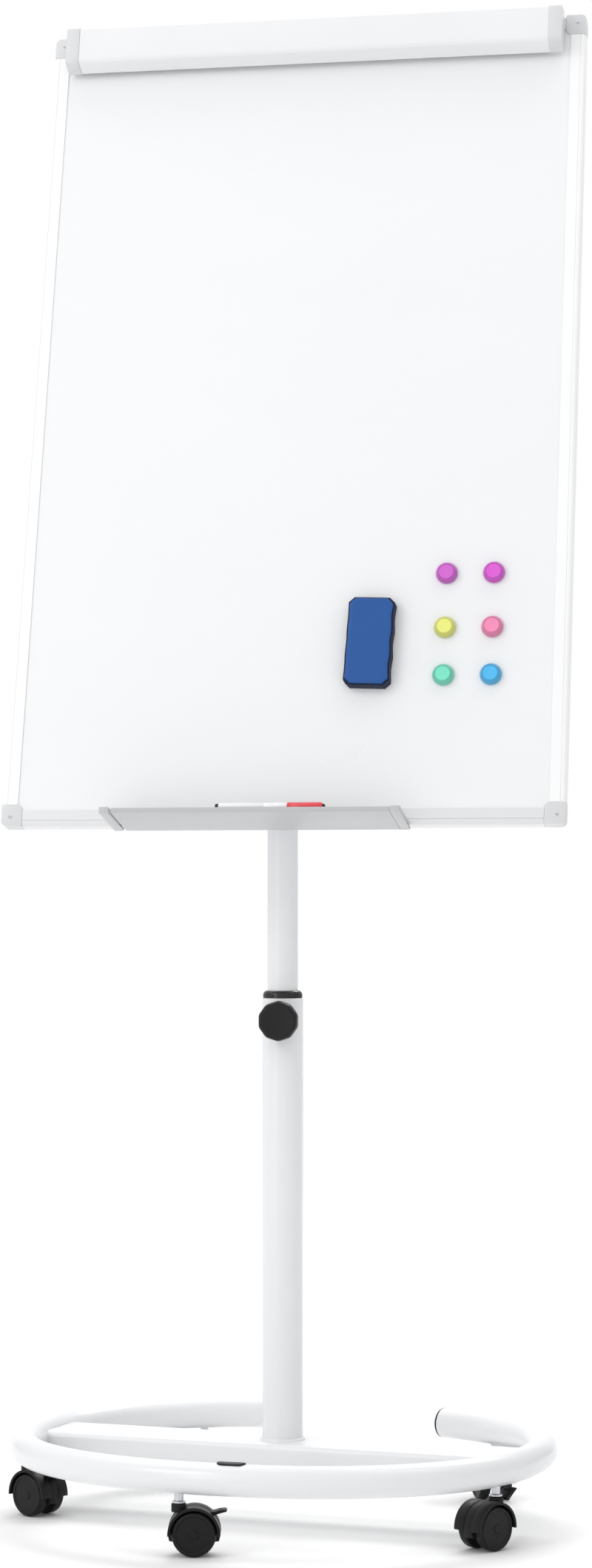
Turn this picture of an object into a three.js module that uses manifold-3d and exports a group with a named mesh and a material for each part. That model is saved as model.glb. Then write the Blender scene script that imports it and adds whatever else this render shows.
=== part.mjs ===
// A mobile flip chart easel: a framed whiteboard with a paper clamp and a pen tray, tilting on the
// head of a telescopic mast, which stands on a beam inside a tubular ring on five twin-wheel casters.
// Millimetres, +Z up. X runs along the cross beam, the easel faces -Y, and Z is 0 on the floor.

import * as THREE from 'three';
import { mergeVertices } from 'three/addons/utils/BufferGeometryUtils.js';
import Module from 'manifold-3d';

const GAP = 0.3; // clearance between pieces that touch

// Ring base: a steel tube bent to a superellipse, open at the back
const RING_HALF_WIDTH = 321;
const RING_HALF_DEPTH = 271.5;
const RING_POWER = 2.19;
const RING_END_ANGLE = 159;
const RING_TUBE_RADIUS = 19;
const RING_TUBE_WALL = 1.6;
const RING_HEIGHT = 90;
const RING_STEPS = 46;
const RING_BOTTOM = RING_HEIGHT - RING_TUBE_RADIUS;
const CAP_FLANGE = 5;
const CAP_SPIGOT_LENGTH = 16;
const CAP_SPIGOT_RADIUS = 15;
const PLUG_ANGLE = 6;
const PLUG_LENGTH = 35;
const PLUG_WIDTH = 15;
const PLUG_THICKNESS = 1.6;

// Cross beam: a wide rounded rectangular tube under the mast
const BEAM_HALF_LENGTH = 312;
const BEAM_DEPTH = 90;
const BEAM_BOTTOM = 66;
const BEAM_TOP = 98;
const BEAM_CORNER = 8;
const BEAM_WALL = 2;

// Mast: two telescoping tubes with a collar, a sliding bush and a clamping knob
const LOWER_TUBE_RADIUS = 25.4;
const LOWER_TUBE_TOP = 643;
const UPPER_TUBE_RADIUS = 19.05;
const UPPER_TUBE_BOTTOM = 476;
const UPPER_TUBE_TOP = 1016;
const TUBE_WALL = 1.5;
const COLLAR_RADIUS = 24.6;
const COLLAR_HEIGHT = 9;
const COLLAR_SLEEVE = 50;
const BUSH_HEIGHT = 40;
const KNOB_HEIGHT = 616;
const KNOB_ANGLE = 14.5;
const KNOB_RADIUS = 24.8;
const KNOB_THICKNESS = 21;
const KNOB_BOSS_RADIUS = 8;
const KNOB_BOSS_REACH = 35;
const STUD_RADIUS = 4;
const STUD_HOLE_RADIUS = 4.4;
const BOLT_HEAD_RADIUS = 8;
const BOLT_HEAD_HEIGHT = 5.5;
const BOLT_LENGTH = 60;

// Tilt head: a lug on the mast between two ears on the board, clamped by a knob with a through bolt
const MAST_TURN = 10;
const PIVOT_HEIGHT = 1041;
const BOARD_LEAN = 14;
const LUG_THICKNESS = 20;
const LUG_RADIUS = 14;
const EAR_THICKNESS = 3;
const EAR_RADIUS = 13;
const BRACKET_WIDTH = 96;
const BRACKET_HEIGHT = 56;
const TILT_KNOB_RADIUS = 18;
const TILT_KNOB_THICKNESS = 15;

// Board: frame rails and corners round a steel writing sheet on a core
const BOARD_WIDTH = 700;
const BOARD_HEIGHT = 1073;
const BOARD_DEPTH = 18;
const BOARD_SHIFT = 16; // the board's centre line is this far to the right of the mast
const PIVOT_UP_BOARD = 205; // from the board's bottom edge
const PIVOT_BEHIND_FACE = 58; // from the frame's front face
const RAIL_WIDTH = 20;
const RAIL_ROUNDING = 5.5;
const RAIL_LIP = 1.2;
const RAIL_WALL = 1.4;
const PANEL_INSET = 14; // the panel's edge lies this far inside the frame's outer edge
const GROOVE_BACK = 11.1;
const SHEET_FRONT = 1.5;
const SHEET_THICKNESS = 0.8;
const SHEET_RIM_STEP = 0.2;
const CORE_BACK = 10.8;
const CORNER_WIDTH = 26;
const CORNER_HEIGHT = 27;
const BACK_RAIL_HEIGHT = 40;
const BACK_RAIL_DEPTH = 14.7;
const BACK_RAIL_LENGTH = 684;

// Paper clamp: a channel along the top that swings open on two pins
const CLAMP_LENGTH = 650;
const CLAMP_CENTRE = -2.75;
const CLAMP_CAP_WIDTH = 17;
const CLAMP_DEPTH = 30;
const CLAMP_DROP = 50; // from the top edge to the bend
const CLAMP_WALL = 2;
const HINGE_DOWN = 8; // the hinge line below the top edge
const HINGE_FORWARD = 9; // the hinge line in front of the frame's face
const CLAMP_RAIL_LENGTH = 600;

// Tray: a floor under the bottom rail with a front lip, a pen rib and two end caps
const TRAY_LEFT = -194.5;
const TRAY_RIGHT = 147;
const TRAY_REACH = 66;
const TRAY_WALL = 1.5;
const TRAY_LIP = 4.2;
const TRAY_RIB = 50;
const TRAY_RIB_TOP = 2.7;
const TRAY_CAP_WIDTH = 12;
const TRAY_CAP_JOINT = 3;
const TRAY_TONGUE = 6;

// Accessories, placed by (across, up) on the board's face
const ERASER = {
  across: 104, up: 229, turn: 2, width: 58, height: 113.5, felt: 14, shell: 4, shellInset: 2.2,
};
const ERASER_CORNER = 7;
const ERASER_GRIPS = 3;
const ERASER_SCALLOP = 1.4;
const MAGNET_COLUMNS = [195.5, 254];
const MAGNET_ROWS = [319.5, 249.5, 188.5];
const MAGNET_RADIUS = 13.5;
const MAGNET_HEIGHT = 9;
const MARKER = { left: -67, joint: 22, right: 67.4, radius: 5.5, capRadius: 5.9, forward: 58 };

// Casters: twin wheels under a hood, trailing behind a steel stem
const WHEEL_RADIUS = 26;
const WHEEL_OUTER = 21;
const WHEEL_INNER = 7.2;
const AXLE_RADIUS = 4;
const TRAIL = 18;
const HOOD_OUTER = 31;
const HOOD_INNER = 28;
const HOOD_WIDTH = 43;
const WEB_THICKNESS = 13;
const BOSS_RADIUS = 9;
const BOSS_BOTTOM = 50;
const BOSS_TOP = 60;
const STEM_RADIUS = 5.5;
const STEM_FLANGE_RADIUS = 8;
const STEM_PIN_RADIUS = 4;
const STEM_BOTTOM = 40;
const STEM_TOP = 98;
const PEDAL_BARREL = 2.6;
const PEDAL_WIDTH = 17;
const TRAILING_PEDAL = { x: 38.6, z: 48.4, turn: 0, pitch: 0 };
const LEADING_PEDAL = { x: -12.4, z: 57, turn: 180, pitch: 24 };
const CASTERS = [
  { name: 'front', ring: -3.5, trail: 21, pedal: TRAILING_PEDAL },
  { name: 'right', ring: 72, trail: 244, pedal: LEADING_PEDAL },
  { name: 'left', ring: -76, trail: -22, pedal: TRAILING_PEDAL },
  { name: 'rear_right', ring: 142, trail: 125 },
  { name: 'rear_left', ring: -144, trail: 150 },
];

// ---------------------------------------------------------------- materials

function finish(color, roughness, metalness) {
  return () => new THREE.MeshStandardMaterial({ color, roughness, metalness });
}

const white = finish(0xf2f3f4, 0.35, 0.1);
const whiteboard = finish(0xf3f5f8, 0.2, 0.0);
const aluminium = finish(0xe6e8ea, 0.35, 0.8);
const greyPlastic = finish(0xc4c6c8, 0.5, 0.0);
const blackPlastic = finish(0x1e1e20, 0.5, 0.0);
const steel = finish(0xb9bcc0, 0.3, 0.9);
const cardboard = finish(0xa9adb1, 0.8, 0.0);
const blueShell = finish(0x24559c, 0.45, 0.0);
const navyFelt = finish(0x141d33, 0.95, 0.0);
const MAGNET_FINISHES = [
  [finish(0xc95fc9, 0.35, 0.0), finish(0xcf4fc6, 0.35, 0.0)],
  [finish(0xe6ea6c, 0.35, 0.0), finish(0xf07fb8, 0.35, 0.0)],
  [finish(0x66ddc0, 0.35, 0.0), finish(0x3fa9e0, 0.35, 0.0)],
];
const redPlastic = finish(0xe02a2e, 0.35, 0.0);

// ---------------------------------------------------------------- geometry helpers

const wasm = await Module();
wasm.setup();

const radians = THREE.MathUtils.degToRad;
const easel = new THREE.Group();

function add(parent, name, geometry, material) {
  const mesh = new THREE.Mesh(geometry, material());
  mesh.name = name;
  parent.add(mesh);
  return mesh;
}

function group(parent, x, y, z, turn = 0) {
  const child = new THREE.Group();
  child.position.set(x, y, z);
  child.rotation.z = radians(turn);
  parent.add(child);
  return child;
}

function toSolid(geometry) {
  const bare = geometry.index ? geometry.toNonIndexed() : geometry.clone();
  bare.deleteAttribute('normal');
  bare.deleteAttribute('uv');
  const merged = mergeVertices(bare, 1e-4);
  const mesh = new wasm.Mesh({
    numProp: 3,
    vertProperties: Float32Array.from(merged.attributes.position.array),
    triVerts: Uint32Array.from(merged.index.array),
  });
  return new wasm.Manifold(mesh);
}

function toGeometry(solid) {
  const mesh = solid.getMesh();
  const geometry = new THREE.BufferGeometry();
  geometry.setAttribute('position', new THREE.BufferAttribute(mesh.vertProperties, 3));
  geometry.setIndex(new THREE.BufferAttribute(mesh.triVerts, 1));
  geometry.computeVertexNormals();
  return geometry;
}

function unite(...geometries) {
  return toGeometry(geometries.map(toSolid).reduce((whole, piece) => whole.add(piece)));
}

function cut(geometry, ...tools) {
  return toGeometry(tools.map(toSolid).reduce((whole, tool) => whole.subtract(tool), toSolid(geometry)));
}

// A closed section, always taken counterclockwise, with a hollow in it if one is given
function outline(points, hollow) {
  const corners = points.map(([x, y]) => new THREE.Vector2(x, y));
  const section = new THREE.Shape(THREE.ShapeUtils.isClockWise(corners) ? corners.reverse() : corners);
  if (hollow) {
    section.holes.push(outline(hollow));
  }
  return section;
}

function arc(centreX, centreY, radius, from, to, steps) {
  const points = [];
  for (let i = 0; i <= steps; i += 1) {
    const angle = radians(from + ((to - from) * i) / steps);
    points.push([centreX + radius * Math.cos(angle), centreY + radius * Math.sin(angle)]);
  }
  return points;
}

function roundedRectangle(width, height, radius, steps) {
  const x = width / 2 - radius;
  const y = height / 2 - radius;
  return [
    ...arc(x, y, radius, 0, 90, steps),
    ...arc(-x, y, radius, 90, 180, steps),
    ...arc(-x, -y, radius, 180, 270, steps),
    ...arc(x, -y, radius, 270, 360, steps),
  ];
}

// A section in (x, y) extruded from z = from to z = to
function alongZ(section, from, to, options = {}) {
  const geometry = new THREE.ExtrudeGeometry(section, { depth: to - from, bevelEnabled: false, ...options });
  return geometry.translate(0, 0, from);
}

// A section in (y, z) extruded from x = from to x = to
function alongX(section, from, to) {
  const basis = new THREE.Matrix4().makeBasis(
    new THREE.Vector3(0, 1, 0), new THREE.Vector3(0, 0, 1), new THREE.Vector3(1, 0, 0),
  );
  return alongZ(section, from, to).applyMatrix4(basis);
}

// A section in (x, z) extruded from y = from to y = to
function alongY(section, from, to) {
  return alongZ(section, -to, -from).rotateX(Math.PI / 2);
}

function circle(radius, sides) {
  return arc(0, 0, radius, 0, 360 - 360 / sides, sides - 1);
}

function rod(radius, from, to, sides = 24) {
  return alongZ(outline(circle(radius, sides)), from, to);
}

function rodAlongX(radius, from, to, sides = 20) {
  return rod(radius, from, to, sides).rotateY(Math.PI / 2);
}

function rodAlongY(radius, from, to, sides = 20) {
  return rod(radius, from, to, sides).rotateX(-Math.PI / 2);
}

function tube(radius, wall, from, to, sides) {
  return alongZ(outline(circle(radius, sides), circle(radius - wall, sides)), from, to);
}

// A solid of revolution about Z from (radius, z) points
function turned(points, segments) {
  const profile = points.map(([radius, z]) => new THREE.Vector2(radius, z));
  return new THREE.LatheGeometry(profile, segments).rotateX(Math.PI / 2);
}

function block(fromX, toX, fromY, toY, fromZ, toZ) {
  const geometry = new THREE.BoxGeometry(toX - fromX, toY - fromY, toZ - fromZ);
  return geometry.translate((fromX + toX) / 2, (fromY + toY) / 2, (fromZ + toZ) / 2);
}

// ---------------------------------------------------------------- ring base

function ringPoint(angle) {
  const power = 2 / RING_POWER;
  const sine = Math.sin(radians(angle));
  const cosine = Math.cos(radians(angle));
  const x = RING_HALF_WIDTH * Math.sign(sine) * Math.abs(sine) ** power;
  const y = -RING_HALF_DEPTH * Math.sign(cosine) * Math.abs(cosine) ** power;
  return new THREE.Vector3(x, y, 0);
}

class RingCurve extends THREE.Curve {
  getPoint(t) {
    return ringPoint(RING_END_ANGLE * (2 * t - 1));
  }
}

function ringTube(outer, inner, steps) {
  const section = outline(circle(outer, 18), inner && circle(inner, 8));
  return new THREE.ExtrudeGeometry(section, { steps, extrudePath: new RingCurve(), bevelEnabled: false });
}

function addRing() {
  const base = group(easel, 0, 0, RING_HEIGHT);
  const stemHoles = CASTERS.map(({ ring }) => {
    const { x, y } = ringPoint(ring);
    return rod(STEM_RADIUS + GAP, -RING_TUBE_RADIUS - 2, 0, 12).translate(x, y, 0);
  });
  const tubing = ringTube(RING_TUBE_RADIUS, RING_TUBE_RADIUS - RING_TUBE_WALL, RING_STEPS);
  add(base, 'base_ring', cut(tubing, ...stemHoles), white);

  const capProfile = [
    [0, -CAP_SPIGOT_LENGTH], [CAP_SPIGOT_RADIUS, -CAP_SPIGOT_LENGTH], [CAP_SPIGOT_RADIUS, GAP],
    [RING_TUBE_RADIUS, GAP], [RING_TUBE_RADIUS, CAP_FLANGE - 2], [RING_TUBE_RADIUS - 3, CAP_FLANGE],
    [0, CAP_FLANGE + 0.8],
  ];
  const curve = new RingCurve();
  for (const [name, t, outward] of [['ring_cap_right', 1, 1], ['ring_cap_left', 0, -1]]) {
    const cap = add(base, name, turned(capProfile, 18), blackPlastic);
    cap.position.copy(curve.getPoint(t));
    const direction = curve.getTangent(t).multiplyScalar(outward);
    cap.quaternion.setFromUnitVectors(new THREE.Vector3(0, 0, 1), direction);
  }

  const patch = outline([
    ...arc((PLUG_LENGTH - PLUG_WIDTH) / 2, 0, PLUG_WIDTH / 2, -90, 90, 8),
    ...arc((PLUG_WIDTH - PLUG_LENGTH) / 2, 0, PLUG_WIDTH / 2, 90, 270, 8),
  ]);
  const top = RING_TUBE_RADIUS + PLUG_THICKNESS;
  const shell = rodAlongX(top, -PLUG_LENGTH, PLUG_LENGTH, 32);
  const bore = rodAlongX(RING_TUBE_RADIUS + GAP, -PLUG_LENGTH, PLUG_LENGTH, 32);
  const prism = toSolid(alongZ(patch, 4, top + 4));
  const plug = toGeometry(prism.intersect(toSolid(shell)).subtract(toSolid(bore)));
  const at = ringPoint(PLUG_ANGLE);
  const ahead = ringPoint(PLUG_ANGLE + 1).sub(ringPoint(PLUG_ANGLE - 1));
  const place = group(base, at.x, at.y, 0, THREE.MathUtils.radToDeg(Math.atan2(ahead.y, ahead.x)));
  add(place, 'ring_plug', plug, blackPlastic);
}

function addBeam() {
  const height = BEAM_TOP - BEAM_BOTTOM;
  const inside = [BEAM_DEPTH - 2 * BEAM_WALL, height - 2 * BEAM_WALL];
  const hollow = roundedRectangle(...inside, BEAM_CORNER - BEAM_WALL, 3);
  const section = outline(roundedRectangle(BEAM_DEPTH, height, BEAM_CORNER, 4), hollow);
  const middle = (BEAM_TOP + BEAM_BOTTOM) / 2;
  const beam = alongX(section, -BEAM_HALF_LENGTH, BEAM_HALF_LENGTH).translate(0, 0, middle);
  const ring = ringTube(RING_TUBE_RADIUS + GAP, 0, RING_STEPS).translate(0, 0, RING_HEIGHT);
  const boltHole = rod(STUD_HOLE_RADIUS, BEAM_BOTTOM - 2, BEAM_TOP + 2);
  const mastSeat = rod(LOWER_TUBE_RADIUS + GAP, BEAM_TOP - GAP, BEAM_TOP + 2, 32);
  add(easel, 'cross_beam', cut(beam, ring, boltHole, mastSeat), white);
}

// ---------------------------------------------------------------- mast

function lobedKnob(radius, thickness, lobes) {
  const points = [];
  const samples = lobes * 4;
  for (let i = 0; i < samples; i += 1) {
    const angle = (2 * Math.PI * i) / samples;
    const reach = radius - 1.5 - 0.035 * radius * (1 - Math.cos(lobes * angle));
    points.push([reach * Math.cos(angle), reach * Math.sin(angle)]);
  }
  const bevel = { bevelEnabled: true, bevelSize: 1.5, bevelThickness: 1.5, bevelSegments: 1 };
  return alongZ(outline(points), 1.5, thickness - 1.5, bevel).translate(0, 0, 1.5);
}

function addLowerMast() {
  const knobTurn = radians(KNOB_ANGLE);
  const knobSide = (geometry) => geometry.rotateX(Math.PI / 2).rotateZ(knobTurn).translate(0, 0, KNOB_HEIGHT);
  const studHole = knobSide(rod(STUD_HOLE_RADIUS, 10, KNOB_BOSS_REACH + 2, 16));

  const post = tube(LOWER_TUBE_RADIUS, TUBE_WALL, BEAM_TOP, LOWER_TUBE_TOP, 32);
  const bossRod = knobSide(rod(KNOB_BOSS_RADIUS, LOWER_TUBE_RADIUS - 1, KNOB_BOSS_REACH, 14));
  add(easel, 'lower_tube', cut(unite(post, bossRod), studHole), white);

  const bore = UPPER_TUBE_RADIUS + GAP;
  const sleeve = LOWER_TUBE_RADIUS - TUBE_WALL - GAP;
  const flange = LOWER_TUBE_TOP + GAP;
  const collar = turned([
    [bore, LOWER_TUBE_TOP - COLLAR_SLEEVE], [sleeve, LOWER_TUBE_TOP - COLLAR_SLEEVE], [sleeve, flange],
    [COLLAR_RADIUS, flange], [COLLAR_RADIUS, flange + COLLAR_HEIGHT - 3],
    [COLLAR_RADIUS - 3, flange + COLLAR_HEIGHT], [bore, flange + COLLAR_HEIGHT],
    [bore, LOWER_TUBE_TOP - COLLAR_SLEEVE],
  ], 32);
  add(easel, 'mast_collar', cut(collar, studHole), blackPlastic);

  const head = lobedKnob(KNOB_RADIUS, KNOB_THICKNESS, 10).translate(0, 0, KNOB_BOSS_REACH + GAP);
  const stud = rod(STUD_RADIUS, UPPER_TUBE_RADIUS + GAP, KNOB_BOSS_REACH + 4, 16);
  const side = group(easel, 0, 0, KNOB_HEIGHT, KNOB_ANGLE);
  add(side, 'height_knob', unite(head, stud), blackPlastic).rotation.x = Math.PI / 2;

  const headTop = BEAM_BOTTOM - GAP;
  const hexagon = rod(BOLT_HEAD_RADIUS, headTop - BOLT_HEAD_HEIGHT, headTop, 6);
  const shank = rod(STUD_RADIUS, headTop - 1, headTop + BOLT_LENGTH, 16);
  add(easel, 'mast_bolt', unite(hexagon, shank), steel);
}

function addUpperMast(mast) {
  const bushBore = UPPER_TUBE_RADIUS + GAP;
  const bushRadius = LOWER_TUBE_RADIUS - TUBE_WALL - GAP;
  const bushTop = UPPER_TUBE_BOTTOM + BUSH_HEIGHT;
  const bush = tube(bushRadius, bushRadius - bushBore, UPPER_TUBE_BOTTOM, bushTop, 28);
  add(mast, 'slide_bush', bush, blackPlastic);
  add(mast, 'upper_tube', tube(UPPER_TUBE_RADIUS, TUBE_WALL, UPPER_TUBE_BOTTOM, UPPER_TUBE_TOP, 32), white);

  const spigot = rod(UPPER_TUBE_RADIUS - TUBE_WALL - GAP, UPPER_TUBE_TOP - 35, UPPER_TUBE_TOP + 1);
  const flange = rod(UPPER_TUBE_RADIUS, UPPER_TUBE_TOP + GAP, UPPER_TUBE_TOP + 4);
  const lugFoot = UPPER_TUBE_TOP + 3;
  const lugSide = outline([
    [-LUG_RADIUS, lugFoot], ...arc(0, PIVOT_HEIGHT, LUG_RADIUS, 180, 0, 12), [LUG_RADIUS, lugFoot],
  ]);
  const lug = alongX(lugSide, -LUG_THICKNESS / 2, LUG_THICKNESS / 2);
  const pivot = rodAlongX(STUD_HOLE_RADIUS, -30, 30, 16).translate(0, 0, PIVOT_HEIGHT);
  add(mast, 'tilt_head', cut(unite(spigot, flange, lug), pivot), blackPlastic);
}

function addTiltHardware(pivot) {
  const back = -PIVOT_BEHIND_FACE + BOARD_DEPTH + BACK_RAIL_DEPTH + 2 * GAP;
  const plate = block(-BRACKET_WIDTH / 2, BRACKET_WIDTH / 2, back, back + EAR_THICKNESS,
    -BRACKET_HEIGHT / 2, BRACKET_HEIGHT / 2);
  const earSide = outline([
    [back + 1, -EAR_RADIUS - 3], ...arc(0, 0, EAR_RADIUS, -90, 90, 12), [back + 1, EAR_RADIUS + 3],
  ]);
  const inside = LUG_THICKNESS / 2 + 2 * GAP;
  const ears = [-inside - EAR_THICKNESS, inside].map((from) => alongX(earSide, from, from + EAR_THICKNESS));
  const bore = rodAlongX(STUD_HOLE_RADIUS, -30, 30, 16);
  add(pivot, 'tilt_bracket', cut(unite(plate, ...ears), bore), steel);

  const outside = inside + EAR_THICKNESS + GAP;
  const knob = lobedKnob(TILT_KNOB_RADIUS, TILT_KNOB_THICKNESS, 7).translate(0, 0, outside);
  const bolt = rod(STUD_RADIUS, -outside - 6, outside + 3, 16);
  add(pivot, 'tilt_knob', unite(knob, bolt), blackPlastic).rotation.y = Math.PI / 2;
}

// ---------------------------------------------------------------- board

// The frame rail's section: s runs inwards from the board's outer edge, w backwards from its front face
function railSection(place) {
  const round = arc(RAIL_ROUNDING, RAIL_ROUNDING, RAIL_ROUNDING, 180, 270, 4);
  const groove = PANEL_INSET - GAP;
  const shoulder = RAIL_WIDTH - 8;
  const outer = [
    ...round, [RAIL_WIDTH, 0], [RAIL_WIDTH, RAIL_LIP], [groove, RAIL_LIP], [groove, GROOVE_BACK],
    [RAIL_WIDTH, GROOVE_BACK], [RAIL_WIDTH, GROOVE_BACK + RAIL_WALL], [shoulder, GROOVE_BACK + RAIL_WALL],
    [shoulder, BOARD_DEPTH], [0, BOARD_DEPTH],
  ];
  const chamberBack = BOARD_DEPTH - RAIL_WALL;
  const chamberSide = shoulder - RAIL_WALL;
  const chamber = [[RAIL_WALL, 7], [chamberSide, 7], [chamberSide, chamberBack], [RAIL_WALL, chamberBack]];
  return outline(outer.map(place), chamber.map(place));
}

function addFrame(board) {
  const half = BOARD_WIDTH / 2;
  const sideFrom = CORNER_HEIGHT + GAP;
  const sideTo = BOARD_HEIGHT - CORNER_HEIGHT - GAP;
  const acrossTo = half - CORNER_WIDTH - GAP;
  const leftSection = railSection(([s, w]) => [s - half, w]);
  const rightSection = railSection(([s, w]) => [half - s, w]);
  const bottomSection = railSection(([s, w]) => [w, s]);
  const topSection = railSection(([s, w]) => [w, BOARD_HEIGHT - s]);
  add(board, 'rail_left', alongZ(leftSection, sideFrom, sideTo), aluminium);
  add(board, 'rail_right', alongZ(rightSection, sideFrom, sideTo), aluminium);
  add(board, 'rail_bottom', alongX(bottomSection, -acrossTo, acrossTo), aluminium);
  add(board, 'rail_top', alongX(topSection, -acrossTo, acrossTo), aluminium);

  const panelHalf = half - PANEL_INSET;
  const panelTop = BOARD_HEIGHT - PANEL_INSET;
  const sheetBack = SHEET_FRONT + SHEET_THICKNESS;
  const panel = (front, back) => block(-panelHalf, panelHalf, front, back, PANEL_INSET, panelTop);
  const fieldHalf = half - CORNER_WIDTH - GAP;
  const fieldTop = BOARD_HEIGHT - CORNER_HEIGHT - GAP;
  const field = block(-fieldHalf, fieldHalf, SHEET_FRONT, sheetBack, CORNER_HEIGHT + GAP, fieldTop);
  const rim = panel(SHEET_FRONT + SHEET_RIM_STEP, sheetBack);
  add(board, 'writing_sheet', unite(rim, field), whiteboard);
  add(board, 'board_core', panel(sheetBack + GAP, CORE_BACK), cardboard);

  const pocketWidth = panelHalf + GAP;
  const pocketTop = panelTop + GAP;
  const pocket = block(-pocketWidth, pocketWidth, RAIL_LIP, GROOVE_BACK, PANEL_INSET - GAP, pocketTop);
  for (const [height, up] of [['bottom', 1], ['top', -1]]) {
    for (const [side, right] of [['left', 1], ['right', -1]]) {
      const face = [
        ...arc(4, 4, 4, 180, 270, 4), [CORNER_WIDTH, 0],
        ...arc(CORNER_WIDTH - 7, CORNER_HEIGHT - 7, 7, 0, 90, 4), [0, CORNER_HEIGHT],
      ];
      const corner = face.map(([s, r]) => [right * (s - half), up > 0 ? r : BOARD_HEIGHT - r]);
      const piece = alongY(outline(corner), 0, BOARD_DEPTH);
      add(board, `corner_${height}_${side}`, cut(piece, pocket), greyPlastic);
    }
  }

  const hollow = roundedRectangle(BACK_RAIL_DEPTH - 3, BACK_RAIL_HEIGHT - 3, 1, 1);
  const section = outline(roundedRectangle(BACK_RAIL_DEPTH, BACK_RAIL_HEIGHT, 2, 2), hollow);
  const backRail = alongX(section, -BACK_RAIL_LENGTH / 2, BACK_RAIL_LENGTH / 2);
  backRail.translate(0, BOARD_DEPTH + GAP + BACK_RAIL_DEPTH / 2, PIVOT_UP_BOARD);
  add(board, 'back_rail', backRail, aluminium);
}

// The clamp channel's outer side in (w, up) about the hinge line, grown outwards by the amount asked for
function clampSide(grow) {
  const top = HINGE_DOWN + grow;
  const front = HINGE_FORWARD - CLAMP_DEPTH - grow;
  const bend = HINGE_DOWN - CLAMP_DROP - grow;
  const corner = arc(front + 3, top - 3, 3, 90, 180, 3);
  const curl = arc(front + 6, bend + 6, 6, 180, 255, 4);
  return [[3, top], ...corner, ...curl, [2, bend - 5]];
}

function addClamp(board) {
  const hinge = group(board, 0, -HINGE_FORWARD, BOARD_HEIGHT - HINGE_DOWN);
  const left = CLAMP_CENTRE - CLAMP_LENGTH / 2;
  const right = CLAMP_CENTRE + CLAMP_LENGTH / 2;
  const outer = clampSide(0);
  const inner = clampSide(-CLAMP_WALL).reverse();
  const capRoom = CLAMP_CAP_WIDTH + GAP;
  const channel = alongX(outline([...outer, ...inner]), left + capRoom, right - capRoom);
  add(hinge, 'clamp_bar', channel, white);

  const pinReach = CLAMP_RAIL_LENGTH / 2 + 14;
  const capSection = outline([...clampSide(1), [3, HINGE_DOWN - CLAMP_DROP - 4]]);
  for (const [name, from] of [['clamp_cap_left', left], ['clamp_cap_right', right - CLAMP_CAP_WIDTH]]) {
    const cap = alongX(capSection, from, from + CLAMP_CAP_WIDTH);
    const pinHole = rodAlongX(2 + GAP, CLAMP_CENTRE - pinReach - GAP, CLAMP_CENTRE + pinReach + GAP, 12);
    add(hinge, name, cut(cap, pinHole), greyPlastic);
  }

  const half = CLAMP_RAIL_LENGTH / 2;
  const foot = block(CLAMP_CENTRE - half, CLAMP_CENTRE + half, 0, HINGE_FORWARD - GAP, -9, 1);
  const barrel = rodAlongX(3, CLAMP_CENTRE - half, CLAMP_CENTRE + half, 16);
  const pin = rodAlongX(2, CLAMP_CENTRE - pinReach, CLAMP_CENTRE + pinReach, 12);
  add(hinge, 'clamp_rail', unite(foot, barrel, pin), aluminium);
}

function addTray(board) {
  const floor = -GAP;
  const under = floor - TRAY_WALL;
  const seat = floor - GAP;
  const ribBack = -TRAY_RIB;
  const ribFront = ribBack - TRAY_WALL;
  const lipBack = TRAY_WALL - TRAY_REACH;
  const section = outline([
    [BOARD_DEPTH, under], [BOARD_DEPTH, seat], [-GAP, seat], [-GAP, floor], [ribBack, floor],
    [ribBack, TRAY_RIB_TOP], [ribFront, TRAY_RIB_TOP], [ribFront, floor],
    [lipBack, floor], [lipBack, TRAY_LIP],
    [-TRAY_REACH, TRAY_LIP], [-TRAY_REACH, under],
  ]);
  const tongueLength = TRAY_TONGUE + 2 * GAP;
  const tongueSeats = [TRAY_LEFT - 1, TRAY_RIGHT + 1 - tongueLength].map((from) => (
    block(from, from + tongueLength, ribBack, 0, seat, floor + 1)
  ));
  add(board, 'tray', cut(alongX(section, TRAY_LEFT, TRAY_RIGHT), ...tongueSeats), aluminium);

  const side = outline([
    [BOARD_DEPTH, under - 0.4], [BOARD_DEPTH, floor], [-GAP, floor], [-GAP, TRAY_LIP + 1],
    [-TRAY_REACH - 0.6, TRAY_LIP + 1], [-TRAY_REACH - 0.6, under - 0.4],
  ]);
  const tongueBack = ribBack + 2;
  const tongueSide = outline([[-3, floor], [-3, TRAY_LIP], [tongueBack, TRAY_LIP], [tongueBack, floor]]);
  const ends = [
    ['tray_cap_left', TRAY_LEFT - TRAY_CAP_JOINT, -1, TRAY_LEFT],
    ['tray_cap_right', TRAY_RIGHT + GAP, 1, TRAY_RIGHT],
  ];
  for (const [name, from, outward, trayEnd] of ends) {
    const to = from + outward * TRAY_CAP_WIDTH;
    const reach = trayEnd - outward * (TRAY_TONGUE - 1);
    const root = from + outward;
    const plate = alongX(side, Math.min(from, to), Math.max(from, to));
    const tongue = alongX(tongueSide, Math.min(root, reach), Math.max(root, reach));
    add(board, name, unite(plate, tongue), greyPlastic);
  }
}

// ---------------------------------------------------------------- accessories on the board

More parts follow.
